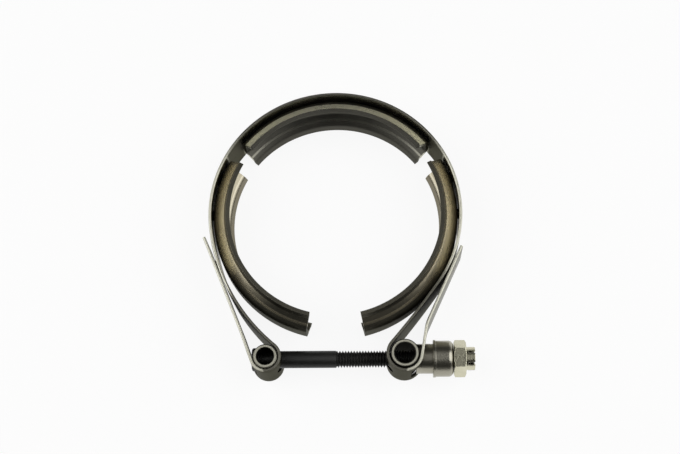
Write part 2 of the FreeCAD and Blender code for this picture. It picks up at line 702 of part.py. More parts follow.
def make_nut_tube():
    """The larger trunnion tube in the nut-side loop, with a sliding hole for the bolt."""
    body = new_body("nut_tube")
    section = ring_section(body, "NutTubeSection", "XZ_Plane", size("nut_tube_bore") / 2.0,
                           size("nut_tube_diameter") / 2.0, size("tube_length") / 2.0,
                           size("tube_chamfer"),
                           ("Sizes.nut_tube_bore / 2", "Sizes.nut_tube_diameter / 2"))
    add_turn(body, section, "NutTube", "V_Axis")
    cross_hole(body, "SlideHole", size("slide_bore") / 2.0, "Sizes.slide_bore / 2",
               "2 * Sizes.nut_tube_diameter", "nut")
    place_at(body, "Sizes.loop_spread", LOOP_LEVEL % "nut")
    return body


def make_bolt():
    """The bolt: a low round head, a plain shank, the threaded length and a bevelled end."""
    body = new_body("t_bolt")
    sketch = new_sketch(body, "BoltSection", "XZ_Plane")
    seat = -size("head_seat")
    back = seat - size("head_thickness")
    head = size("head_diameter") / 2.0
    shank = size("bolt_diameter") / 2.0
    thread = size("thread_diameter") / 2.0
    bevel = size("bolt_chamfer")
    start = size("thread_start")
    end = 2.0 * loop_spread + size("bolt_reach")
    soft = size("head_thickness") / 2.0
    sides = polygon(sketch, [(back, 0.0), (back, head - soft), (seat - soft, head),
                             (seat, head), (seat, shank), (start, shank), (start, thread),
                             (end - bevel, thread), (end, thread - bevel), (end, 0.0)])
    level(sketch, flat=(sides[2], sides[4], sides[6]),
          upright=(sides[0], sides[3], sides[5], sides[8]))
    sketch.addConstraint(Sketcher.Constraint("PointOnObject", sides[0], 1, -1))
    sketch.addConstraint(Sketcher.Constraint("PointOnObject", sides[9], 1, -1))
    set_x(sketch, "head_back", sides[0], 1, back, "Sizes.head_seat + Sizes.head_thickness")
    set_x(sketch, "head_face", sides[3], 1, seat, "Sizes.head_seat")
    set_y(sketch, "head_radius", sides[3], 1, head, "Sizes.head_diameter / 2")
    bind(sketch, "head_bevel_up",
         Sketcher.Constraint("DistanceY", sides[1], 1, sides[1], 2, soft),
         "Sizes.head_thickness / 2")
    bind(sketch, "head_bevel_along",
         Sketcher.Constraint("DistanceX", sides[1], 1, sides[1], 2, soft),
         "Sizes.head_thickness / 2")
    set_y(sketch, "shank_radius", sides[4], 1, shank, "Sizes.bolt_diameter / 2")
    set_x(sketch, "thread_from", sides[5], 1, start, "Sizes.thread_start")
    set_y(sketch, "thread_radius", sides[6], 1, thread, "Sizes.thread_diameter / 2")
    set_x(sketch, "bolt_end", sides[8], 1, end, "2 * Sizes.loop_spread + Sizes.bolt_reach")
    bind(sketch, "end_bevel_up",
         Sketcher.Constraint("DistanceY", sides[7], 2, sides[7], 1, bevel),
         "Sizes.bolt_chamfer")
    bind(sketch, "end_bevel_along",
         Sketcher.Constraint("DistanceX", sides[7], 1, sides[7], 2, bevel),
         "Sizes.bolt_chamfer")
    add_turn(body, sketch, "Bolt", "H_Axis")
    place_at(body, "-Sizes.loop_spread")
    return body


def make_sleeve():
    """The sleeve over the bolt, its end hollowed to sit on the nut-side tube."""
    body = new_body("sleeve")
    sketch = new_sketch(body, "SleeveSection", "XZ_Plane")
    bore = size("slide_bore") / 2.0
    outer = size("sleeve_diameter") / 2.0
    start = size("sleeve_start")
    end = size("sleeve_reach")
    sides = polygon(sketch, [(start, bore), (end, bore), (end, outer), (start, outer)])
    level(sketch, flat=(sides[0], sides[2]), upright=(sides[1], sides[3]))
    set_x(sketch, "sleeve_from", sides[0], 1, start, "Sizes.sleeve_start")
    set_x(sketch, "sleeve_to", sides[1], 1, end, "Sizes.sleeve_reach")
    set_y(sketch, "bore_radius", sides[0], 1, bore, "Sizes.slide_bore / 2")
    set_y(sketch, "outside_radius", sides[2], 1, outer, "Sizes.sleeve_diameter / 2")
    add_turn(body, sketch, "Sleeve", "H_Axis")
    saddle = new_sketch(body, "SaddleOutline", "XY_Plane")
    radius = size("nut_tube_diameter") / 2.0
    up = size("bolt_drop") - size("nut_loop_drop")
    circle = Part.Circle(FreeCAD.Vector(0, up, 0), FreeCAD.Vector(0, 0, 1), radius)
    index = saddle.addGeometry(circle)
    saddle.addConstraint(Sketcher.Constraint("PointOnObject", index, 3, -2))
    set_y(saddle, "saddle_up", index, 3, up, "abs(Sizes.bolt_drop - Sizes.nut_loop_drop)")
    bind(saddle, "saddle_radius", Sketcher.Constraint("Radius", index, radius),
         "Sizes.nut_tube_diameter / 2")
    add_pocket(body, saddle, "Saddle", "2 * Sizes.sleeve_diameter")
    place_at(body, "Sizes.loop_spread")
    return body


def make_collar():
    """The thrust collar: a thin rim at the sleeve and a rounded shoulder under the nut."""
    body = new_body("collar")
    sketch = new_sketch(body, "CollarSection", "XZ_Plane")
    bore = size("slide_bore") / 2.0
    outer = size("collar_diameter") / 2.0
    rim = outer + size("collar_rim")
    rim_end = size("collar_rim_length")
    end = size("collar_length")
    dome = size("collar_dome")
    chain = Chain(sketch)
    chain.line((0.0, bore), (end, bore))
    face = chain.line((end, bore), (end, outer - dome))
    round_edge = chain.arc((end - dome, outer - dome), (end, outer - dome),
                           (end - dome, outer), True)
    side = chain.line((end - dome, outer), (rim_end, outer))
    step = chain.line((rim_end, outer), (rim_end, rim))
    top = chain.line((rim_end, rim), (0.0, rim))
    back = chain.line((0.0, rim), (0.0, bore))
    chain.close(smooth=(1, 2))
    level(sketch, flat=(0, side, top), upright=(face, step, back))
    sketch.addConstraint(Sketcher.Constraint("PointOnObject", back, 1, -2))
    set_y(sketch, "bore_radius", back, 2, bore, "Sizes.slide_bore / 2")
    set_x(sketch, "collar_end", face, 1, end, "Sizes.collar_length")
    bind(sketch, "dome_radius", Sketcher.Constraint("Radius", round_edge, dome),
         "Sizes.collar_dome")
    set_y(sketch, "side_radius", side, 2, outer, "Sizes.collar_diameter / 2")
    set_y(sketch, "rim_radius", top, 1, rim, "Sizes.collar_diameter / 2 + Sizes.collar_rim")
    set_x(sketch, "rim_end", step, 1, rim_end, "Sizes.collar_rim_length")
    add_turn(body, sketch, "Collar", "H_Axis")
    place_at(body, "Sizes.loop_spread + Sizes.sleeve_reach")
    return body


def make_nut():
    """The lock nut: turned blank, six milled flats, bored, with a slotted locking collar."""
    body = new_body("lock_nut")
    sketch = new_sketch(body, "NutSection", "XZ_Plane")
    bore = size("nut_bore") / 2.0
    corner = size("nut_flats") / math.sqrt(3.0)
    lock = size("lock_diameter") / 2.0
    deep = size("hex_length")
    end = deep + size("lock_length")
    bevel = size("nut_chamfer")
    slope = 0.6
    points = [(0.0, bore), (end, bore), (end, lock), (deep, lock), (deep, corner - bevel),
              (deep - bevel * slope, corner), (bevel * slope, corner), (0.0, corner - bevel)]
    sides = polygon(sketch, points)
    level(sketch, flat=(sides[0], sides[2], sides[5]),
          upright=(sides[1], sides[3], sides[7]))
    sketch.addConstraint(Sketcher.Constraint("PointOnObject", sides[0], 1, -2))
    set_y(sketch, "bore_radius", sides[0], 1, bore, "Sizes.nut_bore / 2")
    set_x(sketch, "nut_end", sides[1], 1, end, "Sizes.hex_length + Sizes.lock_length")
    set_y(sketch, "lock_radius", sides[2], 1, lock, "Sizes.lock_diameter / 2")
    set_x(sketch, "hex_end", sides[3], 1, deep, "Sizes.hex_length")
    set_y(sketch, "corner_radius", sides[5], 1, corner, "Sizes.nut_flats / sqrt(3)")
    set_y(sketch, "outer_bevel", sides[4], 1, corner - bevel,
          "Sizes.nut_flats / sqrt(3) - Sizes.nut_chamfer")
    set_y(sketch, "inner_bevel", sides[7], 1, corner - bevel,
          "Sizes.nut_flats / sqrt(3) - Sizes.nut_chamfer")
    set_x(sketch, "outer_bevel_from", sides[4], 2, deep - bevel * slope,
          "Sizes.hex_length - 0.6 * Sizes.nut_chamfer")
    set_x(sketch, "inner_bevel_to", sides[6], 1, bevel * slope, "0.6 * Sizes.nut_chamfer")
    add_turn(body, sketch, "NutBlank", "H_Axis")

    flat = new_sketch(body, "FlatOutline", "XY_Plane")
    half = size("nut_flats") / 2.0
    sides = polygon(flat, [(-1.0, half), (deep, half), (deep, half + 3.0), (-1.0, half + 3.0)])
    level(flat, flat=(sides[0], sides[2]), upright=(sides[1], sides[3]))
    set_x(flat, "flat_from", sides[0], 1, -1.0, "1")
    set_x(flat, "flat_to", sides[1], 1, deep, "Sizes.hex_length")
    set_y(flat, "flat_height", sides[0], 1, half, "Sizes.nut_flats / 2")
    set_y(flat, "flat_clear", sides[2], 1, half + 3.0, "Sizes.nut_flats / 2 + 3")
    cut = add_pocket(body, flat, "Flat", "2 * Sizes.nut_flats")
    add_polar(body, cut, "Flats", "X_Axis", "6", "360")

    slot = new_sketch(body, "LockSlotOutline", "XZ_Plane")
    deep_end = end - size("lock_slot_depth")
    sides = polygon(slot, [(deep_end, bore - 1.0), (end + 1.0, bore - 1.0),
                           (end + 1.0, lock + 1.0), (deep_end, lock + 1.0)])
    level(slot, flat=(sides[0], sides[2]), upright=(sides[1], sides[3]))
    set_x(slot, "slot_floor", sides[0], 1, deep_end,
          "Sizes.hex_length + Sizes.lock_length - Sizes.lock_slot_depth")
    set_x(slot, "slot_mouth", sides[1], 1, end + 1.0,
          "Sizes.hex_length + Sizes.lock_length + 1")
    set_y(slot, "slot_inside", sides[0], 1, bore - 1.0, "Sizes.nut_bore / 2 - 1")
    set_y(slot, "slot_outside", sides[2], 1, lock + 1.0, "Sizes.lock_diameter / 2 + 1")
    groove = add_pocket(body, slot, "LockSlot", "Sizes.lock_slot_width")
    add_polar(body, groove, "LockSlots", "X_Axis", "6", "360")
    body.Placement = FreeCAD.Placement(FreeCAD.Vector(0, 0, 0),
                                       FreeCAD.Rotation(FreeCAD.Vector(1, 0, 0), 1.0))
    body.setExpression("Placement.Rotation.Angle", "Sizes.nut_clock")
    place_at(body, "Sizes.loop_spread + Sizes.sleeve_reach + Sizes.collar_length"
                   " + Sizes.nut_gap")
    return body


# The three segments share what the two joints and the bottom opening leave of the ring.
SHARE = ("(360 - 2 * Sizes.joint_gap - Sizes.bottom_opening)"
         " / (Sizes.top_span + 2 * Sizes.side_span)")
TOP_SPAN = "Sizes.top_span * " + SHARE
SIDE_SPAN = "Sizes.side_span * " + SHARE
HALF_STEP = "(%s) / 2 + Sizes.joint_gap + (%s) / 2" % (TOP_SPAN, SIDE_SPAN)
parts = [
    make_band(),
    make_segment("segment_top", TOP_SPAN, "90"),
    make_segment("segment_left", SIDE_SPAN, "90 + " + HALF_STEP),
    make_segment("segment_right", SIDE_SPAN, "450 - (" + HALF_STEP + ")"),
    make_bolt_tube(),
    make_nut_tube(),
    make_bolt(),
    make_sleeve(),
    make_collar(),
    make_nut(),
]
doc.recompute()

for item in doc.Objects:
    if "Invalid" in item.State or "Error" in item.State:
        raise RuntimeError("%s did not rebuild" % item.Label)
for body in parts:
    shape = body.Shape
    if shape.isNull() or not shape.isValid() or len(shape.Solids) != 1:
        raise RuntimeError("%s has no single valid solid" % body.Label)

os.makedirs("parts", exist_ok=True)
for body in parts:
    body.Shape.exportStep("parts/%s.step" % body.Label)
    print("%-14s %9.1f mm3" % (body.Label, body.Shape.Volume))
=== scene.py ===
import logging
import math
from dataclasses import dataclass, replace
from enum import Enum
from typing import Iterable, Optional, Sequence, Tuple

import bmesh
import bpy
from mathutils import Matrix, Vector


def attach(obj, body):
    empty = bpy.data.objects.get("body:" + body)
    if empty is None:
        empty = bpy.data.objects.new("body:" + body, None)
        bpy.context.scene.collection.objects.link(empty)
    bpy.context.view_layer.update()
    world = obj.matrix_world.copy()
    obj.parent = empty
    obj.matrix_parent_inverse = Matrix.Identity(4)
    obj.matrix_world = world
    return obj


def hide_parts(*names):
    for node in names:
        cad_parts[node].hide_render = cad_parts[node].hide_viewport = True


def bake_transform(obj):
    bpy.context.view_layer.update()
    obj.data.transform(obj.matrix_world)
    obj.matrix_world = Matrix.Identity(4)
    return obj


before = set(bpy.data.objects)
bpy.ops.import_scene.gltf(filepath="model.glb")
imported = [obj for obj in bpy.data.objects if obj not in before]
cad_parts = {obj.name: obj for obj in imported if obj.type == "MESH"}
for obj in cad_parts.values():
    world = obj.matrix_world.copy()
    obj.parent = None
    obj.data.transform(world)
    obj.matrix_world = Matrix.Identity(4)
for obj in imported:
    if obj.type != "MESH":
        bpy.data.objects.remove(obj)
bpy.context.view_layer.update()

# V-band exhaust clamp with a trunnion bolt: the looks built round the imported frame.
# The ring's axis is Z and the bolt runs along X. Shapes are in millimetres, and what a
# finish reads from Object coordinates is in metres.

MM = 0.001
LOG = logging.getLogger("clamp")

Colour = Tuple[float, float, float]
Point2 = Tuple[float, float]
Point3 = Tuple[float, float, float]
Mesh = bmesh.types.BMesh
Piece = bpy.types.Object
Socket = bpy.types.NodeSocket
Sockets = bpy.types.bpy_prop_collection
Tree = bpy.types.NodeTree


class Body(Enum):
    """Moving bodies of the clamp, by their names in the frame."""

    RING = "ring"
    BOLT_JAW = "bolt_jaw"
    BOLT_UNIT = "bolt_unit"
    NUT_JAW = "nut_jaw"


class Slot(Enum):
    """Material slots of the record."""

    STRAP = "strap_steel"
    SEGMENT = "segment_steel"
    TUBE = "tube_steel"
    TURNED = "turned_steel"
    BLACK = "black_steel"
    NUT = "nut_steel"


class Grain(Enum):
    """Ways in which fine tool lines lie, with the pattern's scale along its three axes."""

    ALONG_STRIP = (18.0, 18.0, 2600.0)
    ROUND_RING = (2200.0, 1.6, 2200.0)
    ROUND_BOLT = (2600.0, 2600.0, 0.0)
    SPECKLE = (1500.0, 1500.0, 1500.0)


# Node trees.


@dataclass
class Nodes:
    """A small helper that adds nodes to one tree and wires them up.

    Args:
        tree: the node tree that is filled.
    """

    tree: Tree

    def add(self, kind: str, **settings: object) -> bpy.types.Node:
        """Add a node.

        Args:
            kind: the node's class name without its ShaderNode prefix.
            settings: attributes to set on the node.

        Returns:
            The new node.
        """
        node = self.tree.nodes.new("ShaderNode" + kind)
        for name, value in settings.items():
            setattr(node, name, value)
        return node

    def wire(self, target: Socket, source: object) -> None:
        """Feed an input from a socket, or set its plain value.

        Args:
            target: the input.
            source: a socket, or the plain value.
        """
        if isinstance(source, bpy.types.NodeSocket):
            self.tree.links.new(source, target)
        else:
            target.default_value = source

    def math(self, operation: str, first: object, second: object = 0.0,
             third: object = 0.0, clamp: bool = False) -> Socket:
        """Add a Math node.

        Args:
            operation: the node's operation.
            first: the first input, a socket or a number.
            second: the second input.
            third: the third input, where the operation has one.
            clamp: whether the result is held between 0 and 1.

        Returns:
            The result's socket.
        """
        node = self.add("Math", operation=operation, use_clamp=clamp)
        for socket, value in zip(node.inputs, (first, second, third)):
            self.wire(socket, value)
        return node.outputs[0]

    def times(self, first: object, second: object) -> Socket:
        """Return the product of two values."""
        return self.math("MULTIPLY", first, second)

    def most(self, first: object, second: object) -> Socket:
        """Return the larger of two values."""
        return self.math("MAXIMUM", first, second)

    def less(self, value: object) -> Socket:
        """Return what a value leaves of 1."""
        return self.math("SUBTRACT", 1.0, value)

    def vector(self, operation: str, *inputs: object) -> bpy.types.Node:
        """Add a Vector Math node.

        Args:
            operation: the node's operation.
            inputs: its inputs, sockets or vectors.

        Returns:
            The new node.
        """
        node = self.add("VectorMath", operation=operation)
        for socket, value in zip(node.inputs, inputs):
            self.wire(socket, value)
        return node

    def mix(self, factor: Socket, first: object, second: Colour) -> Socket:
        """Add a colour Mix node.

        Args:
            factor: how much of the second colour shows.
            first: the first colour, or its socket.
            second: the second colour.

        Returns:
            The mixed colour.
        """
        node = self.add("Mix", data_type="RGBA")
        for index, value in zip((0, 6, 7), (factor, first, second)):
            plain = isinstance(value, tuple)
            self.wire(node.inputs[index], (*value, 1.0) if plain else value)
        return node.outputs[2]

    def rise(self, source: Socket, low: object, high: object) -> Socket:
        """Stretch a value so that low becomes 0 and high becomes 1, smoothly.

        Args:
            source: the value.
            low: where the result is still 0.
            high: from where on it is 1.

        Returns:
            The stretched value.
        """
        node = self.add("MapRange", interpolation_type="SMOOTHSTEP", clamp=True)
        for label, value in (("Value", source), ("From Min", low), ("From Max", high)):
            self.wire(node.inputs[label], value)
        return node.outputs[0]

    def rise_at(self, source: Socket, place: object, soft: object) -> Socket:
        """Return a smooth step from 0 to 1 round a place, with its softness each way."""
        return self.rise(source, self.math("SUBTRACT", place, soft),
                         self.math("ADD", place, soft))

    def noise(self, vector: Socket, scale: object, detail: float = 2.0,
              roughness: float = 0.5) -> Socket:
        """Add a Noise texture.

        Args:
            vector: the coordinates that it reads.
            scale: how fine it is.
            detail: how many finer layers it has.
            roughness: how strong those layers are.

        Returns:
            The noise's value.
        """
        node = self.add("TexNoise")
        for label, value in (("Vector", vector), ("Scale", scale), ("Detail", detail),
                             ("Roughness", roughness)):
            self.wire(node.inputs[label], value)
        return node.outputs["Fac"]

    def join(self, x: object, y: object, z: object) -> Socket:
        """Join three values into a vector.

        Args:
            x: the first value.
            y: the second value.
            z: the third value.

        Returns:
            The vector.
        """
        node = self.add("CombineXYZ")
        for socket, value in zip(node.inputs, (x, y, z)):
            self.wire(socket, value)
        return node.outputs[0]

    def split(self, vector: Socket) -> Tuple[Socket, Socket, Socket]:
        """Split a vector.

        Args:
            vector: the vector.

        Returns:
            Its three parts.
        """
        node = self.add("SeparateXYZ")
        self.wire(node.inputs[0], vector)
        return tuple(node.outputs)

    def reach(self, first: Socket, second: Socket) -> Socket:
        """Return the distance from an axis, given the two places across it."""
        return self.vector("LENGTH", self.join(first, second, 0.0)).outputs["Value"]

    def effect(self, group: Tree, place: Socket, **inputs: object) -> Sockets:
        """Place a shared effect.

        Args:
            group: the effect's node group.
            place: the coordinates that it reads.
            inputs: its other inputs, with _ in place of a space.

        Returns:
            The effect's outputs by name.
        """
        node = self.tree.nodes.new("ShaderNodeGroup")
        node.node_tree = group
        self.wire(node.inputs["Vector"], place)
        for label, value in inputs.items():
            self.wire(node.inputs[label.replace("_", " ")], value)
        return node.outputs


VALUE = "NodeSocketFloat"
VECTOR = "NodeSocketVector"


def new_group(name: str, inputs: Sequence[Tuple[str, str, Optional[float]]],
              outputs: Sequence[Tuple[str, str]]) -> Tuple[Nodes, Sockets, Sockets]:
    """Start a shader node group that reads coordinates and some named inputs.

    Args:
        name: the group's name.
        inputs: name, socket type and default of each input after the coordinates.
        outputs: name and socket type of each output.

    Returns:
        A helper for the group, what the group is given, and what it puts out.
    """
    tree = bpy.data.node_groups.new(name, "ShaderNodeTree")
    for label, kind, default in (("Vector", VECTOR, None), *inputs):
        socket = tree.interface.new_socket(label, in_out="INPUT", socket_type=kind)
        if default is not None:
            socket.default_value = default
    for label, kind in outputs:
        tree.interface.new_socket(label, in_out="OUTPUT", socket_type=kind)
    start = tree.nodes.new("NodeGroupInput")
    end = tree.nodes.new("NodeGroupOutput")
    return Nodes(tree), start.outputs, end.inputs


class Effects:
    """The effects that several finishes share, each built once as a node group."""

    SCRATCH_DRIFT = (0.006, 0.006, 0.006)
    BAND_EDGE = 0.0001
    BAND_LOSS = 0.8
    SHADE_FAR_EDGE = 0.0003
    SHADE_NEAR_EDGE = 0.0002
    SHADE_LAND_EDGE = 0.0001

    def __init__(self) -> None:
        """Build every group."""
        self.edge_wear = self._edge_wear()
        self.tool_lines = self._tool_lines()
        self.handling = self._handling()
        self.scratches = self._scratches()
        self.inward_faces = self._inward_faces()
        self.sawn_band_and_highlight = self._sawn_band_and_highlight()
        self.painted_shade_mask = self._painted_shade_mask()

    @staticmethod
    def _edge_wear() -> Tree:
        """Build a mask that is 1 along sharp edges, broken up by noise.

        Returns:
            The group's tree.
        """
        kit, given, out = new_group(
            "edge_wear", (("Radius", VALUE, 0.0003), ("Break Up", VALUE, 900.0)),
            (("Mask", VALUE), ("Soft Normal", VECTOR)))
        bevel = kit.add("Bevel", samples=6)
        kit.wire(bevel.inputs["Radius"], given["Radius"])
        shape = kit.add("NewGeometry")
        same = kit.vector("DOT_PRODUCT", bevel.outputs[0], shape.outputs["Normal"])
        broken = kit.noise(given["Vector"], given["Break Up"], detail=4.0, roughness=0.6)
        raised = kit.times(kit.less(same.outputs["Value"]), kit.rise(broken, 0.3, 0.75))
        kit.wire(out["Mask"], kit.rise(raised, 0.01, 0.12))
        kit.wire(out["Soft Normal"], bevel.outputs[0])
        return kit.tree

    @staticmethod
    def _tool_lines() -> Tree:
        """Build fine parallel lines whose direction the Vector's scale decides.

        Returns:
            The group's tree.
        """
        kit, given, out = new_group("tool_lines", (("Fineness", VALUE, 1.0),),
                                    (("Lines", VALUE), ("Bands", VALUE)))
        fine = kit.noise(given["Vector"], given["Fineness"], detail=5.0, roughness=0.62)
        wide = kit.noise(given["Vector"], kit.times(given["Fineness"], 0.13))
        kit.wire(out["Lines"], kit.rise(fine, 0.25, 0.75))
        kit.wire(out["Bands"], kit.rise(wide, 0.3, 0.7))
        return kit.tree

    @staticmethod
    def _handling() -> Tree:
        """Build soft patches, as finger marks and oil leave on bright steel.

        Returns:
            The group's tree.
        """
        kit, given, out = new_group("handling_marks", (("Scale", VALUE, 70.0),),
                                    (("Patches", VALUE),))
        patches = kit.noise(given["Vector"], given["Scale"], detail=5.0, roughness=0.55)
        kit.wire(out["Patches"], kit.rise(patches, 0.35, 0.68))
        return kit.tree

    @classmethod
    def _scratches(cls) -> Tree:
        """Build sparse hairline scratches in wandering directions.

        Returns:
            The group's tree.
        """
        kit, given, out = new_group("hairline_scratches", (("Scale", VALUE, 260.0),),
                                    (("Mask", VALUE),))
        drift = kit.add("TexNoise")
        kit.wire(drift.inputs["Vector"], given["Vector"])
        drift.inputs["Scale"].default_value = 120.0
        push = kit.vector("MULTIPLY_ADD", drift.outputs["Color"], cls.SCRATCH_DRIFT,
                          given["Vector"])
        cells = kit.add("TexVoronoi", feature="DISTANCE_TO_EDGE")
        kit.wire(cells.inputs["Vector"], push.outputs[0])
        kit.wire(cells.inputs["Scale"], given["Scale"])
        thin = kit.less(kit.rise(cells.outputs["Distance"], 0.0, 0.02))
        where = kit.rise(kit.noise(given["Vector"], 180.0), 0.55, 0.7)
        kit.wire(out["Mask"], kit.times(thin, where))
        return kit.tree

    @staticmethod
    def _inward_faces() -> Tree:
        """Build a mask that is 1 on faces that look towards the ring's axis.

        Returns:
            The group's tree.
        """
        kit, given, out = new_group("inward_faces", (("Normal", VECTOR, None),),
                                    (("Mask", VALUE),))
        x, y, _ = kit.split(given["Vector"])
        outward = kit.vector("NORMALIZE", kit.join(x, y, 0.0))
        same = kit.vector("DOT_PRODUCT", outward.outputs[0], given["Normal"])
        kit.wire(out["Mask"], kit.rise(kit.times(same.outputs["Value"], -1.0), 0.05, 0.5))
        return kit.tree

    @classmethod
    def _sawn_band_and_highlight(cls) -> Tree:
        """Build a mask that is 1 between two radii, for sawn ends and painted highlights, and
        weaker on inward faces.

        Returns:
            The group's tree.
        """
        kit, given, out = new_group(
            "sawn_band_and_highlight", (("Inward", VALUE, 0.0), ("Inner", VALUE, 0.0),
                            ("Outer", VALUE, 0.0), ("Soft", VALUE, 0.0)),
            (("Mask", VALUE),))
        x, y, _ = kit.split(given["Vector"])
        radius = kit.reach(x, y)
        start = kit.rise_at(radius, given["Inner"], cls.BAND_EDGE)
        soft_from = kit.math("SUBTRACT", given["Outer"], given["Soft"])
        stop = kit.less(kit.rise(radius, soft_from, given["Outer"]))
        kept = kit.math("MULTIPLY_ADD", given["Inward"], -cls.BAND_LOSS, 1.0)
        kit.wire(out["Mask"], kit.times(kit.times(start, stop), kept))
        return kit.tree

    @classmethod
    def _painted_shade_mask(cls) -> Tree:
        """Build a mask that is 1 where a finish's painted shade lies.

        Returns:
            The group's tree.
        """
        kit, given, out = new_group(
            "painted_shade_mask",
            [(label, VALUE, 0.0) for label in ("Inward", "Within", "Land", "Beyond", "Below",
                                               "Fade", "Rub Inner", "Rub Outer")],
            (("Mask", VALUE),))
        x, y, z = kit.split(given["Vector"])
        radius = kit.reach(x, y)
        far = kit.rise_at(radius, given["Beyond"], cls.SHADE_FAR_EDGE)
        near = kit.less(kit.rise_at(radius, given["Within"], cls.SHADE_NEAR_EDGE))
        inward = kit.times(given["Inward"], kit.most(far, near))
        low = kit.rise_at(kit.times(y, -1.0), given["Below"], given["Fade"])
        land = kit.times(kit.less(kit.rise_at(radius, given["Land"], cls.SHADE_LAND_EDGE)),
                         kit.math("GREATER_THAN", z, 0.0))
        # Between these radii the painted shade gives way to a painted highlight streak.
        inner, outer = given["Rub Inner"], given["Rub Outer"]
        soft = kit.times(kit.math("SUBTRACT", outer, inner), 1.0 / 3.0)
        start = kit.rise(radius, inner, kit.math("ADD", inner, soft))
        stop = kit.less(kit.rise(radius, kit.math("SUBTRACT", outer, soft), outer))
        shaded_faces = kit.most(inward, kit.most(low, land))
        kit.wire(out["Mask"], kit.times(shaded_faces, kit.less(kit.times(start, stop))))
        return kit.tree


# Finishes.


OUTSIDE = 1.0
TAIL_LEAN = math.radians(23.3)
TAIL_OFFSET = 0.0452
TAIL_EDGE = 0.0002


def tail_mask(kit: Nodes, x: Socket, y: Socket) -> Socket:
    """Return a mask that is 1 on the strap's two tails and 0 on the straps inside them.

    Args:
        kit: the material's node helper.
        x: the place along X.
        y: the place along Y.

    Returns:
        The mask.
    """
    across = kit.times(kit.math("ABSOLUTE", x), math.cos(TAIL_LEAN))
    offset = kit.math("MULTIPLY_ADD", y, -math.sin(TAIL_LEAN), across)
    return kit.rise_at(offset, TAIL_OFFSET, TAIL_EDGE)


@dataclass(frozen=True)
class PaintedShade:
    """Painted shade: a darker colour laid over the steel, and where it lies.

    Args:
        colour: the painted shade's colour.
        within: faces that look inwards take it nearer to the ring's axis than this.
        land: the upper lip's flat land takes it nearer to the axis than this.
        beyond: faces that look inwards take it farther from the axis than this.
        below: every face takes it farther below the axis than this.
        fade: over what height it fades out there.
        lit_streak: radii between which it gives way to a painted highlight streak.
        rough: roughness that it adds.
    """

    colour: Colour
    within: float = 0.0
    land: float = 0.0
    beyond: float = OUTSIDE
    below: float = OUTSIDE
    fade: float = 0.004
    lit_streak: Point2 = (OUTSIDE, 2.0 * OUTSIDE)
    rough: float = 0.16

    def mask(self, kit: Nodes, effects: Effects, place: Socket, inward: Socket) -> Socket:
        """Return a mask that is 1 where the painted shade lies.

        Args:
            kit: the material's node helper.
            effects: the shared node groups.
            place: object coordinates.
            inward: the mask of faces that look inwards.

        Returns:
            The mask.
        """
        inner, outer = self.lit_streak
        return kit.effect(effects.painted_shade_mask, place, Inward=inward, Within=self.within,
                          Land=self.land, Beyond=self.beyond, Below=self.below,
                          Fade=self.fade, Rub_Inner=inner, Rub_Outer=outer)["Mask"]


@dataclass(frozen=True)
class StrapPaintedShade(PaintedShade):
    """The strap's film, which also lies where no segment covers the strap.

    Args:
        joint: where the strap shows between two segments, in degrees off the top.
        joint_half: half the width of that length, in degrees.
        joint_fade: over what angle the painted shade fades out there, in degrees.
        bows_below: the straps between ring and loops take it below this, on all faces.
        bows_fade: over what height it fades out there.
    """

    joint: float = 56.0
    joint_half: float = 5.4
    joint_fade: float = 0.57
    bows_below: float = 0.022
    bows_fade: float = 0.003

    def mask(self, kit: Nodes, effects: Effects, place: Socket, inward: Socket) -> Socket:
        """Return a mask that is 1 where the painted shade lies.

        Args:
            kit: the material's node helper.
            effects: the shared node groups.
            place: object coordinates.
            inward: the mask of faces that look inwards.

        Returns:
            The mask.
        """
        x, y, _ = kit.split(place)
        turn = kit.math("ARCTAN2", kit.math("ABSOLUTE", x), y)
        away = kit.math("ABSOLUTE", kit.math("SUBTRACT", turn, math.radians(self.joint)))
        bare = kit.less(kit.rise_at(away, math.radians(self.joint_half),
                                    math.radians(self.joint_fade)))
        under = kit.rise_at(kit.times(y, -1.0), self.bows_below, self.bows_fade)
        bows = kit.times(under, kit.less(tail_mask(kit, x, y)))
        uncovered = kit.most(kit.times(inward, bare), bows)
        return kit.most(super().mask(kit, effects, place, inward), uncovered)


@dataclass(frozen=True)
class Band:
    """A ring about the finish's axis in a colour of its own: on the tubes the bright sawn
    end, on the segments a painted highlight along the web.

    Args:
        inner: its inner radius.
        outer: its outer radius.
        colour: its colour.
        soft: how far it fades out inside its outer radius.
    """

    inner: float
    outer: float
    colour: Colour
    soft: float = 0.0018


@dataclass(frozen=True)
class Rim:
    """The strap's sheared edges, with a painted highlight at the ring's sides and on the
    tails and painted shade elsewhere.

    Args:
        highlight_colour: their painted highlight, at the ring's sides and on the tails.
        shade_colour: their painted shade, over the top of the ring and at its bottom.
        rough: roughness that they add.
        height: distances from the XY plane between which they begin.
        side: distances from the YZ plane between which the ring's edge turns bright.
        bottom: depths below the axis between which the ring's edge turns dull again.
        tails: depths below the axis between which the tails' edge turns bright.
    """

    highlight_colour: Colour
    shade_colour: Colour
    rough: float = 0.22
    height: Point2 = (0.00905, 0.0092)
    side: Point2 = (0.033, 0.042)
    bottom: Point2 = (0.016, 0.030)
    tails: Point2 = (0.004, 0.008)

    def paint(self, kit: Nodes, place: Socket) -> Tuple[Socket, Socket]:
        """Return the edges' mask and their colour.

        Args:
            kit: the material's node helper.
            place: object coordinates.

        Returns:
            The mask and the colour.
        """
        x, y, z = kit.split(place)
        depth = kit.times(y, -1.0)
        mask = kit.rise(kit.math("ABSOLUTE", z), *self.height)
        beside = kit.times(kit.rise(kit.math("ABSOLUTE", x), *self.side),
                           kit.less(kit.rise(depth, *self.bottom)))
        tails = kit.times(kit.rise(depth, *self.tails), tail_mask(kit, x, y))
        # Painted highlight beside the ring and on the tails, painted shade elsewhere.
        return mask, kit.mix(kit.most(beside, tails), self.shade_colour, self.highlight_colour)


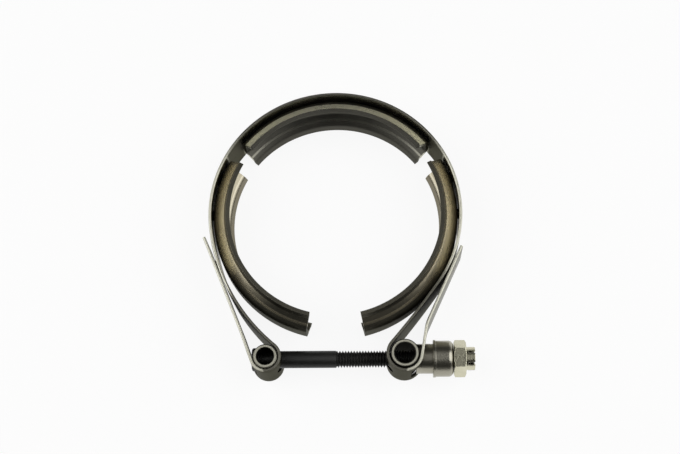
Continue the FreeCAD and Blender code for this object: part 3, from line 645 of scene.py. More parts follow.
# How strongly every finish takes the shared effects.

LINE_SHADE = 0.8
LINE_SHADE_SHARE = 0.18
LINES_ROUGHEN = 0.5
PATCHES_ROUGHEN = 0.6
PATCHES_THIN_SHADE = 0.12
SCRATCH_DEPTH = 0.6
ROUGHEST = 0.9
BUMP_REACH = 0.00002


@dataclass(frozen=True)
class SteelFinish:
    """A bare, oxidised or plated steel surface.

    Args:
        name: the material's name.
        colour: colour of the clean metal.
        stain: colour that patches drift towards.
        worn: colour along worn edges.
        roughness: roughness where the metal is clean.
        rough_spread: how much roughness the marks and lines add.
        grain: how the tool lines lie.
        fineness: how close together the tool lines are.
        line_depth: bump strength of the tool lines.
        stain_share: how strong the stained patches are.
        wear: how strong the edge wear is.
        metal: how metallic the surface is.
        edge_radius: apparent edge radius in metres.
        centre: where the axis of grain and bands crosses the XY plane.
        grazing: tint of the reflection at a grazing angle.
        bands: rings about that axis, sawn ends and painted highlights, the first laid on
            first.
        painted_shade: the painted shade laid over the colour, or None.
        rim: the sheared edges, or None.
    """

    name: str
    colour: Colour
    stain: Colour
    worn: Colour
    roughness: float
    rough_spread: float
    grain: Grain
    fineness: float = 1.0
    line_depth: float = 0.1
    stain_share: float = 0.4
    wear: float = 0.6
    metal: float = 1.0
    edge_radius: float = 0.0002
    centre: Point3 = (0.0, 0.0, 0.0)
    grazing: Colour = (1.0, 1.0, 1.0)
    bands: Tuple[Band, ...] = ()
    painted_shade: Optional[PaintedShade] = None
    rim: Optional[Rim] = None

    def _centred(self, kit: Nodes, place: Socket) -> Socket:
        """Measure coordinates from the finish's axis.

        Args:
            kit: the material's node helper.
            place: object coordinates.

        Returns:
            The centred coordinates.
        """
        shifted = kit.add("Mapping", vector_type="POINT")
        kit.wire(shifted.inputs["Vector"], place)
        kit.wire(shifted.inputs["Location"], tuple(-c for c in self.centre))
        return shifted.outputs[0]

    def _grain_vector(self, kit: Nodes, centred: Socket) -> Socket:
        """Stretch coordinates to run slowly along the tool lines and fast across them.

        Args:
            kit: the material's node helper.
            centred: coordinates measured from the finish's axis.

        Returns:
            The stretched coordinates.
        """
        x, y, z = kit.split(centred)
        if self.grain is Grain.ROUND_RING:
            x, y = kit.reach(x, y), kit.math("ARCTAN2", y, x)
        if self.grain is Grain.ROUND_BOLT:
            y = kit.reach(y, z)
        return kit.vector("MULTIPLY", kit.join(x, y, z), self.grain.value).outputs[0]

    def build(self, effects: Effects) -> bpy.types.Material:
        """Make the finish's material.

        Args:
            effects: the shared node groups.

        Returns:
            The material.
        """
        material = bpy.data.materials.new(self.name)
        material.use_nodes = True
        material.node_tree.nodes.clear()
        kit = Nodes(material.node_tree)
        own = kit.add("TexCoord").outputs
        place = own["Object"]
        centred = self._centred(kit, place)

        edges = kit.effect(effects.edge_wear, place, Radius=self.edge_radius)
        patches = kit.effect(effects.handling, place)["Patches"]
        hair = kit.effect(effects.scratches, place)["Mask"]
        lines = kit.effect(effects.tool_lines, self._grain_vector(kit, centred),
                           Fineness=self.fineness)

        colour = kit.mix(kit.times(patches, self.stain_share), self.colour, self.stain)
        shade = tuple(c * LINE_SHADE for c in self.colour)
        colour = kit.mix(kit.times(lines["Bands"], LINE_SHADE_SHARE), colour, shade)
        rough = kit.math("MULTIPLY_ADD", lines["Lines"], self.rough_spread * LINES_ROUGHEN,
                         self.roughness)
        rough = kit.math("MULTIPLY_ADD", patches, self.rough_spread * PATCHES_ROUGHEN, rough)
        rough = kit.math("MULTIPLY_ADD", hair, self.rough_spread, rough)
        if self.bands or self.painted_shade:
            inward = kit.effect(effects.inward_faces, place, Normal=own["Normal"])["Mask"]
        # Rings about the axis: the tubes' sawn ends, and painted highlights on the segments'
        # webs.
        for band in self.bands:
            mask = kit.effect(effects.sawn_band_and_highlight, centred, Inward=inward, Inner=band.inner,
                              Outer=band.outer, Soft=band.soft)["Mask"]
            colour = kit.mix(mask, colour, band.colour)
        # Painted shade: the faces that its mask picks are painted darker and made rougher.
        if self.painted_shade:
            kept = self.painted_shade.mask(kit, effects, place, inward)
            thin = kit.math("MULTIPLY_ADD", patches, -PATCHES_THIN_SHADE, 1.0)
            colour = kit.mix(kit.times(kept, thin), colour, self.painted_shade.colour)
            rough = kit.math("MULTIPLY_ADD", kept, self.painted_shade.rough, rough)
        colour = kit.mix(kit.times(edges["Mask"], self.wear), colour, self.worn)
        # The strap's edges get their painted highlight and painted shade.
        if self.rim:
            mask, rim_colour = self.rim.paint(kit, place)
            colour = kit.mix(mask, colour, rim_colour)
            rough = kit.math("MULTIPLY_ADD", mask, self.rim.rough, rough)

        bump = kit.add("Bump")
        bump.inputs["Strength"].default_value = self.line_depth
        bump.inputs["Distance"].default_value = BUMP_REACH
        height = kit.math("MULTIPLY_ADD", hair, -SCRATCH_DEPTH, lines["Lines"])
        kit.wire(bump.inputs["Height"], height)
        kit.wire(bump.inputs["Normal"], edges["Soft Normal"])
        steel = kit.add("BsdfPrincipled")
        steel.inputs["Metallic"].default_value = self.metal
        steel.inputs["Specular Tint"].default_value = (*self.grazing, 1.0)
        kit.wire(steel.inputs["Base Color"], colour)
        kit.wire(steel.inputs["Roughness"], kit.math("MINIMUM", rough, ROUGHEST))
        kit.wire(steel.inputs["Normal"], bump.outputs[0])
        kit.wire(kit.add("OutputMaterial").inputs["Surface"], steel.outputs[0])
        return material


SAWN = (0.42, 0.41, 0.34)
FINISHES = {
    Slot.STRAP: SteelFinish(
        "bright_strip", (0.42, 0.41, 0.35), (0.35, 0.33, 0.27), (0.46, 0.45, 0.38),
        roughness=0.19, rough_spread=0.08, grain=Grain.ALONG_STRIP, line_depth=0.06,
        stain_share=0.35, wear=0.3, edge_radius=0.00005, grazing=(0.4, 0.4, 0.37),
        # Painted shade on the loops' bottoms, on the bows, on the strap between the segments
        # and on its inner side outside the ring.
        painted_shade=StrapPaintedShade((0.08, 0.077, 0.062), beyond=0.0457, below=0.048),
        # The edges' painted highlight, then their painted shade.
        rim=Rim((0.60, 0.59, 0.50), (0.15, 0.145, 0.12))),
    Slot.SEGMENT: SteelFinish(
        "pressed_sheet", (0.26, 0.24, 0.185), (0.21, 0.18, 0.12), (0.36, 0.345, 0.28),
        roughness=0.24, rough_spread=0.06, grain=Grain.ROUND_RING, line_depth=0.012,
        stain_share=0.5, wear=0.2, metal=0.93, edge_radius=0.0001,
        grazing=(0.5, 0.5, 0.47),
        # Painted highlights: a tan band across the web's middle, and a bright line at its
        # bend.
        bands=(Band(0.0390, 0.0426, (0.66, 0.59, 0.43)),
               Band(0.0390, 0.0396, (0.98, 0.93, 0.76), soft=0.0002)),
        # Painted shade on the near lip's land and over the lower ends, broken by a painted
        # highlight streak near the crown.
        painted_shade=PaintedShade((0.07, 0.067, 0.053), land=0.0389, below=0.026, fade=0.009,
                  lit_streak=(0.0410, 0.0421))),
    Slot.TUBE: SteelFinish(
        "cut_tube", (0.035, 0.034, 0.028), (0.028, 0.027, 0.022), (0.24, 0.235, 0.20),
        roughness=0.5, rough_spread=0.12, grain=Grain.SPECKLE, fineness=1.4, metal=0.93,
        edge_radius=0.0001, centre=(-0.0241, -0.0519, 0.0), grazing=(0.3, 0.3, 0.28),
        bands=(Band(0.0032, 0.0044, SAWN, soft=0.0004),)),
    Slot.TURNED: SteelFinish(
        "turned_steel", (0.40, 0.385, 0.32), (0.29, 0.27, 0.21), (0.56, 0.54, 0.46),
        roughness=0.24, rough_spread=0.10, grain=Grain.ROUND_BOLT, line_depth=0.18),
    Slot.BLACK: SteelFinish(
        "black_oxide", (0.011, 0.011, 0.010), (0.024, 0.023, 0.021), (0.09, 0.088, 0.08),
        roughness=0.36, rough_spread=0.16, grain=Grain.SPECKLE, line_depth=0.15, wear=0.35,
        metal=0.4),
    Slot.NUT: SteelFinish(
        "pale_plating", (0.66, 0.64, 0.49), (0.50, 0.47, 0.33), (0.84, 0.82, 0.70),
        roughness=0.20, rough_spread=0.10, grain=Grain.SPECKLE, fineness=1.6,
        line_depth=0.06, stain_share=0.5),
}
# The segments' steel in a darker copy for the top segment: painted shade over all of it.
TOP_SHEET = SteelFinish(
    "shaded_sheet", (0.12, 0.116, 0.095), (0.10, 0.09, 0.065), (0.20, 0.19, 0.155),
    roughness=0.26, rough_spread=0.06, grain=Grain.ROUND_RING, line_depth=0.012,
    stain_share=0.5, wear=0.2, metal=0.88, edge_radius=0.0001, grazing=(0.4, 0.4, 0.38),
    # Painted highlight across the middle of the web.
    bands=(Band(0.0393, 0.0422, (0.98, 0.96, 0.82), soft=0.0004),),
    # Painted shade on the land and on the inward faces inside the groove, broken by a painted
    # highlight streak.
    painted_shade=PaintedShade((0.095, 0.092, 0.078), within=0.0425, land=0.0389, lit_streak=(0.0397, 0.0406)))
WELD_TINT = SteelFinish(
    "weld_tint", (0.24, 0.215, 0.175), (0.16, 0.14, 0.13), (0.34, 0.325, 0.27),
    roughness=0.3, rough_spread=0.12, grain=Grain.SPECKLE, stain_share=0.5, wear=0.3,
    edge_radius=0.0001)
NUT_TUBE = replace(FINISHES[Slot.TUBE], name="cut_tube_wide", centre=(0.0241, -0.051, 0.0),
                   bands=(Band(0.0039, 0.0048, SAWN, soft=0.0004),))
NODE_FINISHES = {
    "segment_top": TOP_SHEET,
    "segment_left": FINISHES[Slot.SEGMENT],
    "segment_right": FINISHES[Slot.SEGMENT],
    "bolt_tube": FINISHES[Slot.TUBE],
    "nut_tube": NUT_TUBE,
    "sleeve": FINISHES[Slot.TURNED],
    "collar": FINISHES[Slot.TURNED],
    "lock_nut": FINISHES[Slot.NUT],
}


class Wardrobe:
    """Builds each finish once and dresses objects with it."""

    def __init__(self) -> None:
        """Build the shared effects."""
        self.effects = Effects()
        self.made: dict = {}

    def material(self, finish: SteelFinish) -> bpy.types.Material:
        """Build a finish's material on its first use.

        Args:
            finish: the finish.

        Returns:
            Its material.
        """
        if finish.name not in self.made:
            self.made[finish.name] = finish.build(self.effects)
        return self.made[finish.name]

    def dress_node(self, node: str, finish: SteelFinish) -> None:
        """Give a carried-over node its finish.

        Args:
            node: the node's name in the frame.
            finish: its finish.
        """
        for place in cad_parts[node].material_slots:
            place.link = "DATA"
            place.material = self.material(finish)
        LOG.info("dressed %s with %s", node, finish.name)

    def dress_piece(self, item: Piece, slot: Slot,
                    finish: Optional[SteelFinish] = None) -> None:
        """Give a new piece its finish.

        Args:
            item: the piece.
            slot: the record's slot that it belongs to.
            finish: a finish of its own, or None for the slot's.
        """
        item.data.materials.clear()
        item.data.materials.append(self.material(finish or FINISHES[slot]))
        LOG.info("built %s", item.name)


# Mesh helps.


def toward(angle: float, length: float) -> Point2:
    """Return the plane vector of a length at an angle."""
    return (length * math.cos(angle), length * math.sin(angle))


def plus(*vectors: Point2) -> Point2:
    """Return the sum of plane vectors."""
    return (sum(v[0] for v in vectors), sum(v[1] for v in vectors))


def minus(first: Point2, second: Point2) -> Point2:
    """Return the plane vector that leads from the second point to the first."""
    return (first[0] - second[0], first[1] - second[1])


def verts_of(geom: Iterable) -> list:
    """Return the vertices among an operator's results."""
    return [g for g in geom if isinstance(g, bmesh.types.BMVert)]


def edges_of(geom: Iterable) -> list:
    """Return the edges among an operator's results."""
    return [g for g in geom if isinstance(g, bmesh.types.BMEdge)]


def smooth(mesh: bpy.types.Mesh, sharp: float) -> None:
    """Shade a mesh smooth, but for edges over an angle in degrees."""
    mesh.shade_smooth()
    mesh.set_sharp_from_angle(angle=math.radians(sharp))


def finish_mesh(bm: Mesh, name: str, sharp: float = 35.0) -> Piece:
    """Turn a bmesh in millimetres into a smooth object in metres.

    Args:
        bm: the bmesh, freed here.
        name: the new object's name.
        sharp: angle in degrees above which an edge stays sharp.

    Returns:
        The new object.
    """
    bmesh.ops.remove_doubles(bm, verts=bm.verts, dist=0.0005)
    bmesh.ops.recalc_face_normals(bm, faces=bm.faces)
    bmesh.ops.scale(bm, vec=(MM, MM, MM), verts=bm.verts)
    mesh = bpy.data.meshes.new(name)
    bm.to_mesh(mesh)
    bm.free()
    smooth(mesh, sharp)
    item = bpy.data.objects.new(name, mesh)
    bpy.context.scene.collection.objects.link(item)
    return item


def cut(item: Piece, cutters: Sequence[Piece], sharp: float = 35.0) -> None:
    """Cut closed shapes out of a piece for good, and remove the cutters.

    Args:
        item: the piece.
        cutters: the closed shapes.
        sharp: angle in degrees above which an edge stays sharp.
    """
    for cutter in cutters:
        knife = item.modifiers.new("opening", "BOOLEAN")
        knife.operation = "DIFFERENCE"
        knife.solver = "EXACT"
        knife.object = cutter
    graph = bpy.context.evaluated_depsgraph_get()
    mesh = bpy.data.meshes.new_from_object(item.evaluated_get(graph))
    item.modifiers.clear()
    old = item.data
    item.data = mesh
    bpy.data.meshes.remove(old)
    mesh.name = item.name
    smooth(mesh, sharp)
    for cutter in cutters:
        bpy.data.objects.remove(cutter)


# Strap.


@dataclass(frozen=True)
class StrapRun:
    """Where one side of the strap's centreline is tangent, on the +X side."""

    bow_centre: Point2
    leave: float
    onto: float
    loop: Point2
    bend_centre: Point2
    tail: float
    up: float
    tip: Point2


@dataclass(frozen=True)
class Window:
    """An opening through the outer side of a loop.

    Args:
        name: the opening's name.
        corners: its corners, outwards from the loop's axis and up from the bolt's.
        half_height: half its size along the ring's axis.
    """

    name: str
    corners: Tuple[Point2, ...]
    half_height: float


@dataclass(frozen=True)
class StrapSide:
    """One side of the strap: ring, bow, loop, kink and tail.

    Args:
        name: the side's name.
        sign: +1 for the nut side, -1 for the bolt side.
        jaw: the body that carries this side's loop; not used.
        loop_radius: centreline radius of the loop.
        loop_drop: the loop's centre below the ring.
        bow: radius of the arc that leaves the ring.
        tail_gap: between the ring and the tail.
        kink: the tail's kink in degrees.
        bend_rise: the kink's centre above the loop's.
        tail_end: the tail's end below the ring's axis.
        window: the opening in the loop's outer side.
    """

    name: str
    sign: float
    jaw: Body
    loop_radius: float
    loop_drop: float
    bow: float
    tail_gap: float
    kink: float
    bend_rise: float
    tail_end: float
    window: Window


@dataclass
class Strap:
    """The strap, as two halves that each bend between the ring and a jaw.

    Args:
        flex_from: where the strap begins to bend, in degrees off the top; not used.
        flex_to: where it has bent in full, in degrees off the top; not used.
        pitch: rough length of one step along the ring and the bows.
        fine_pitch: rough length of one step round the loops and kinks.
    """

    radius: float = 45.0
    thickness: float = 1.0
    width: float = 19.0
    loop_spread: float = 24.1
    bend_radius: float = 12.0
    rolled_edge: float = 0.42
    bolt_level: float = 51.4
    slot_radius: float = 3.6
    slot_stretch: float = 0.9
    flex_from: float = 49.5
    flex_to: float = 63.0
    pitch: float = 1.2
    fine_pitch: float = 0.5
    sides: Tuple[StrapSide, ...] = (
        StrapSide("bolt_side", -1.0, Body.BOLT_JAW, loop_radius=5.0, loop_drop=6.9,
                  bow=66.0, tail_gap=0.9, kink=2.0, bend_rise=4.5, tail_end=9.2,
                  window=Window("head_window", ((12.0, -4.8), (2.5, -4.8), (2.5, 4.8),
                                                (12.0, 4.8)), 4.8)),
        StrapSide("nut_side", 1.0, Body.NUT_JAW, loop_radius=5.9, loop_drop=6.0,
                  bow=300.0, tail_gap=0.35, kink=15.0, bend_rise=6.8, tail_end=13.0,
                  window=Window("sleeve_window", ((2.2, -5.6), (14.0, -5.6), (14.0, 9.8),
                                                  (5.4, 9.8)), 5.6)),
    )

    def run(self, side: StrapSide) -> StrapRun:
        """Work out the tangent points of one side.

        Args:
            side: the side's sizes.

        Returns:
            Its tangent points, on the +X side.
        """
        half = self.thickness / 2.0
        ring = self.radius - half
        level = self.radius + side.loop_drop
        loop = (self.loop_spread, -level)
        reach = math.hypot(*loop)
        near = side.bow - ring
        far = side.bow + side.loop_radius
        spread = math.acos((near * near + reach * reach - far * far) / (2.0 * near * reach))
        bow_centre = toward(math.atan2(loop[1], loop[0]) - spread, near)
        offset = self.radius + side.tail_gap + half
        bend_level = level - side.bend_rise
        kink = math.radians(side.kink)

        def bend_centre(angle: float) -> Point2:
            """Find the kink's centre.

            Args:
                angle: the tail's angle.

            Returns:
                The centre for a tail at that angle.
            """
            foot = toward(angle - math.pi / 2.0, offset + self.bend_radius)
            slide = (-bend_level - foot[1]) / math.sin(angle)
            return plus(foot, toward(angle, slide))

        def error(angle: float) -> float:
            """Measure how far the straight below the kink misses the loop.

            Args:
                angle: the tail's angle.

            Returns:
                The miss for a tail at that angle.
            """
            away = minus(bend_centre(angle), loop)
            normal = toward(angle + kink - math.pi / 2.0, 1.0)
            along = away[0] * normal[0] + away[1] * normal[1]
            return along - (side.loop_radius + self.bend_radius)

        flattest, steepest, halvings = math.radians(50.0), math.radians(85.0), 60
        low, high = flattest, steepest
        for _ in range(halvings):
            middle = (low + high) / 2.0
            if error(low) * error(middle) <= 0.0:
                high = middle
            else:
                low = middle
        tail = (low + high) / 2.0
        foot = toward(tail - math.pi / 2.0, offset)
        tip = plus(foot, toward(tail, (-side.tail_end - foot[1]) / math.sin(tail)))
        return StrapRun(
            bow_centre, math.atan2(-bow_centre[1], -bow_centre[0]),
            math.atan2(loop[1] - bow_centre[1], loop[0] - bow_centre[0]), loop,
            bend_centre(tail), tail, tail + kink, tip)

    def _section(self, bm: Mesh) -> list:
        """Draw the strip's section at the top of the ring, with rolled edges.

        Args:
            bm: the bmesh to draw in.

        Returns:
            The section's vertices and edges.
        """
        half, wide = self.thickness / 2.0, self.width / 2.0
        middle = self.radius - half
        face = bm.faces.new([bm.verts.new((0.0, middle + y, z)) for y, z in
                             ((-half, -wide), (half, -wide), (half, wide), (-half, wide))])
        bmesh.ops.bevel(bm, geom=list(face.verts), offset=self.rolled_edge,
                        affect="VERTICES", segments=5, profile=0.5, material=-1)
        bmesh.ops.delete(bm, geom=bm.faces[:], context="FACES_ONLY")
        long_edges = [e for e in bm.edges if e.calc_length() > 2.0 * self.thickness]
        bmesh.ops.subdivide_edges(bm, edges=long_edges, cuts=7)
        return bm.verts[:] + bm.edges[:]

    def _turn(self, bm: Mesh, geom: list, centre: Point2, start: float, end: float,
              pitch: float) -> list:
        """Carry the open end of the strip round a centre.

        Args:
            bm: the bmesh being built.
            geom: the open end's vertices and edges.
            centre: the arc's centre.
            start: the angle that the arc starts at.
            end: the angle that it ends at.
            pitch: rough length of one step.

        Returns:
            The new open end.
        """
        edge = geom[0].co
        radius = math.hypot(edge.x - centre[0], edge.y - centre[1])
        steps = max(4, int(abs(end - start) * radius / pitch))
        made = bmesh.ops.spin(bm, geom=geom, cent=(centre[0], centre[1], 0.0),
                              axis=(0.0, 0.0, 1.0), angle=end - start, steps=steps)
        return made["geom_last"]

    def _go(self, bm: Mesh, geom: list, move: Point2, pitch: float = 2.0) -> list:
        """Carry the open end of the strip straight on.

        Args:
            bm: the bmesh being built.
            geom: the open end's vertices and edges.
            move: how far it goes.
            pitch: rough length of one step.

        Returns:
            The new open end.
        """
        steps = max(1, int(math.hypot(*move) / pitch))
        for _ in range(steps):
            made = bmesh.ops.extrude_edge_only(bm, edges=edges_of(geom))
            verts = verts_of(made["geom"])
            ends = set(verts)
            bmesh.ops.translate(bm, vec=(move[0] / steps, move[1] / steps, 0.0), verts=verts)
            geom = verts + [e for e in edges_of(made["geom"]) if ends.issuperset(e.verts)]
        return geom

    def half(self, side: StrapSide) -> Piece:
        """Bend the strip through one side's run.

        Args:
            side: the side's sizes.

        Returns:
            The strap half, still without its openings.
        """
        run = self.run(side)
        quarter = math.pi / 2.0
        bm = bmesh.new()
        geom = self._section(bm)
        first = edges_of(geom)
        geom = self._turn(bm, geom, (0.0, 0.0), quarter, run.leave, self.pitch)
        geom = self._turn(bm, geom, run.bow_centre, run.leave, run.onto, self.pitch)
        geom = self._turn(bm, geom, run.loop, run.onto + math.pi,
                          run.up - quarter + 2.0 * math.pi, self.fine_pitch)
        start = plus(run.loop, toward(run.up - quarter, side.loop_radius))
        bend_in = plus(run.bend_centre, toward(run.up + quarter, self.bend_radius))
        geom = self._go(bm, geom, minus(bend_in, start))
        geom = self._turn(bm, geom, run.bend_centre, run.up + quarter, run.tail + quarter,
                          self.fine_pitch)
        bend_out = plus(run.bend_centre, toward(run.tail + quarter, self.bend_radius))
        geom = self._go(bm, geom, minus(run.tip, bend_out))
        for rim in (first, edges_of(geom)):
            bmesh.ops.contextual_create(bm, geom=rim)
        if side.sign < 0.0:
            bmesh.ops.scale(bm, vec=(-1.0, 1.0, 1.0), verts=bm.verts)
        return finish_mesh(bm, "strap_" + side.name)

    def _bolt_slot(self, side: StrapSide) -> Piece:
        """Make the long round block that cuts the bolt's slot in a loop's inner side.

        Args:
            side: the loop's side of the strap.

        Returns:
            The block.
        """
        bm = bmesh.new()
        bmesh.ops.create_circle(bm, cap_ends=True, radius=self.slot_radius, segments=48)
        bmesh.ops.rotate(bm, matrix=Matrix.Rotation(math.pi / 2.0, 3, "Y"), verts=bm.verts)
        for vert in bm.verts:
            vert.co.y += math.copysign(self.slot_stretch, vert.co.y) - self.bolt_level
        made = bmesh.ops.extrude_face_region(bm, geom=bm.faces[:], use_keep_orig=True)
        bmesh.ops.translate(bm, vec=(side.sign * self.loop_spread, 0.0, 0.0),
                            verts=verts_of(made["geom"]))
        return finish_mesh(bm, "bolt_slot")

    def _window(self, side: StrapSide) -> Piece:
        """Make the block that cuts the window in a loop's outer side.

        Args:
            side: the loop's side of the strap.

        Returns:
            The block.
        """
        window = side.window
        bm = bmesh.new()
        face = bm.faces.new([
            bm.verts.new((side.sign * (self.loop_spread + out), up - self.bolt_level,
                          -window.half_height)) for out, up in window.corners])
        made = bmesh.ops.extrude_face_region(bm, geom=[face], use_keep_orig=True)
        bmesh.ops.translate(bm, vec=(0.0, 0.0, 2.0 * window.half_height),
                            verts=verts_of(made["geom"]))
        return finish_mesh(bm, window.name)

    def build(self, wardrobe: Wardrobe) -> None:
        """Make both halves, cut them and dress them.

        Args:
            wardrobe: where the finish comes from.
        """
        for side in self.sides:
            item = self.half(side)
            cut(item, [self._bolt_slot(side), self._window(side)])
            wardrobe.dress_piece(item, Slot.STRAP)
            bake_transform(item)
            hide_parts("band")


# Bolt.


@dataclass
class TrunnionBolt:
    """The black bolt: a low round head, a plain shank and a real helical thread.

    Args:
        level: the bolt's axis along Y.
        origin: the bolt-side tube's axis along X, from which lengths are measured.
        neck_length: over which the shank narrows towards the thread.
        neck_depth: how much it narrows there.
        plug_length: how far the shank's end reaches into the thread.
        plug_depth: how far that end lies inside the shank's surface.
        tooth: the tooth's outline, in shares of the pitch and of the thread's depth.
        steps: steps of the helix per turn.
    """

    level: float = -51.4
    origin: float = -24.1
    head_seat: float = 3.9
    head_thickness: float = 1.3
    head_diameter: float = 8.2
    head_bevel: float = 0.08
    shank_diameter: float = 6.0
    neck_length: float = 0.25
    neck_depth: float = 0.12
    plug_length: float = 0.3
    plug_depth: float = 0.5
    thread_start: float = 24.3
    thread_diameter: float = 5.9
    pitch: float = 1.0
    thread_depth: float = 0.62
    tooth: Tuple[Point2, ...] = ((0.0, 0.0), (0.1, 0.0), (0.45, 1.0), (0.55, 1.0),
                                 (0.9, 0.0), (1.0, 0.0))
    end: float = 72.4
    chamfer: float = 0.7
    steps: int = 36

    def _spin(self, bm: Mesh, points: Iterable[Point2], turns: int = 1, lead: float = 0.0,
              steps: int = 64) -> None:
        """Spin an outline about the bolt's axis.

        Args:
            bm: the bmesh to spin in.
            points: the outline, as places along the axis and radii.
            turns: how many turns it makes.
            lead: how far it moves along the axis in a step.
            steps: steps per turn.
        """
        verts = [bm.verts.new((x, 0.0, r)) for x, r in points]
        edges = [bm.edges.new(pair) for pair in zip(verts, verts[1:])]
        bmesh.ops.spin(bm, geom=verts + edges, cent=(0.0, 0.0, 0.0), axis=(1.0, 0.0, 0.0),
                       dvec=(lead, 0.0, 0.0), angle=2.0 * math.pi * turns,
                       steps=steps * turns, use_merge=lead == 0.0)

    def _plain_part(self, bm: Mesh) -> None:
        """Turn the head and shank about the bolt's axis.

        Args:
            bm: the bmesh to turn them in.
        """
        seat = -self.head_seat
        back = seat - self.head_thickness
        head = self.head_diameter / 2.0
        shank = self.shank_diameter / 2.0
        soft = self.head_thickness / 2.0
        crown = soft * 0.3
        stop = self.thread_start
        plug = stop + self.plug_length
        self._spin(bm, (
            (back, 0.0), (back, head - soft), (back + crown, head - crown),
            (seat - soft, head), (seat, head - self.head_bevel), (seat, shank),
            (stop - self.neck_length, shank), (stop, shank - self.neck_depth),
            (plug, shank - self.plug_depth), (plug, 0.0)))

    def _thread(self) -> Mesh:
        """Sweep one tooth along its helix and cut both ends square.

        Returns:
            The closed threaded length.
        """
        bm = bmesh.new()
        crest = self.thread_diameter / 2.0
        root = crest - self.thread_depth
        start = self.thread_start - self.pitch
        turns = int((self.end - start) / self.pitch) + 2
        self._spin(bm, [(start + x * self.pitch, root + rise * self.thread_depth)
                        for x, rise in self.tooth],
                   turns, self.pitch / self.steps, self.steps)
        bmesh.ops.remove_doubles(bm, verts=bm.verts, dist=0.002)
        for place, way in ((self.thread_start, -1.0), (self.end, 1.0)):
            bmesh.ops.bisect_plane(bm, geom=bm.verts[:] + bm.edges[:] + bm.faces[:],
                                   plane_co=(place, 0.0, 0.0), plane_no=(way, 0.0, 0.0),
                                   clear_outer=True)
        for vert in bm.verts:
            limit = crest - max(0.0, vert.co.x - (self.end - self.chamfer))
            reach = math.hypot(vert.co.y, vert.co.z)
            if reach > limit:
                vert.co.y *= limit / reach
                vert.co.z *= limit / reach
        open_edges = [e for e in bm.edges if e.is_boundary]
        bmesh.ops.holes_fill(bm, edges=open_edges, sides=0)
        return bm

    def build(self, wardrobe: Wardrobe) -> None:
        """Make the bolt, dress it and let it stand for its node.

        Args:
            wardrobe: where the finish comes from.
        """
        bm = self._thread()
        self._plain_part(bm)
        bmesh.ops.translate(bm, vec=(self.origin, self.level, 0.0), verts=bm.verts)
        item = finish_mesh(bm, "bolt_with_thread", sharp=28.0)
        wardrobe.dress_piece(item, Slot.BLACK)
        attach(item, Body.BOLT_UNIT.value)
        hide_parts("t_bolt")


# Welds.


@dataclass(frozen=True)
class WeldRow:
    """A row of spot welds through the strap.

    Args:
        name: the row's name.
        body: the body that carries it.
        angles: where the welds sit round the ring, in degrees.
        outside: the welded sheet's outside, over the ring's strap.
        seam: where the nuggets begin and end, over the outside of the ring's strap.
    """

    name: str
    body: Body
    angles: Tuple[float, ...]
    outside: float = 0.0
    seam: Point2 = (-1.4, -0.9)


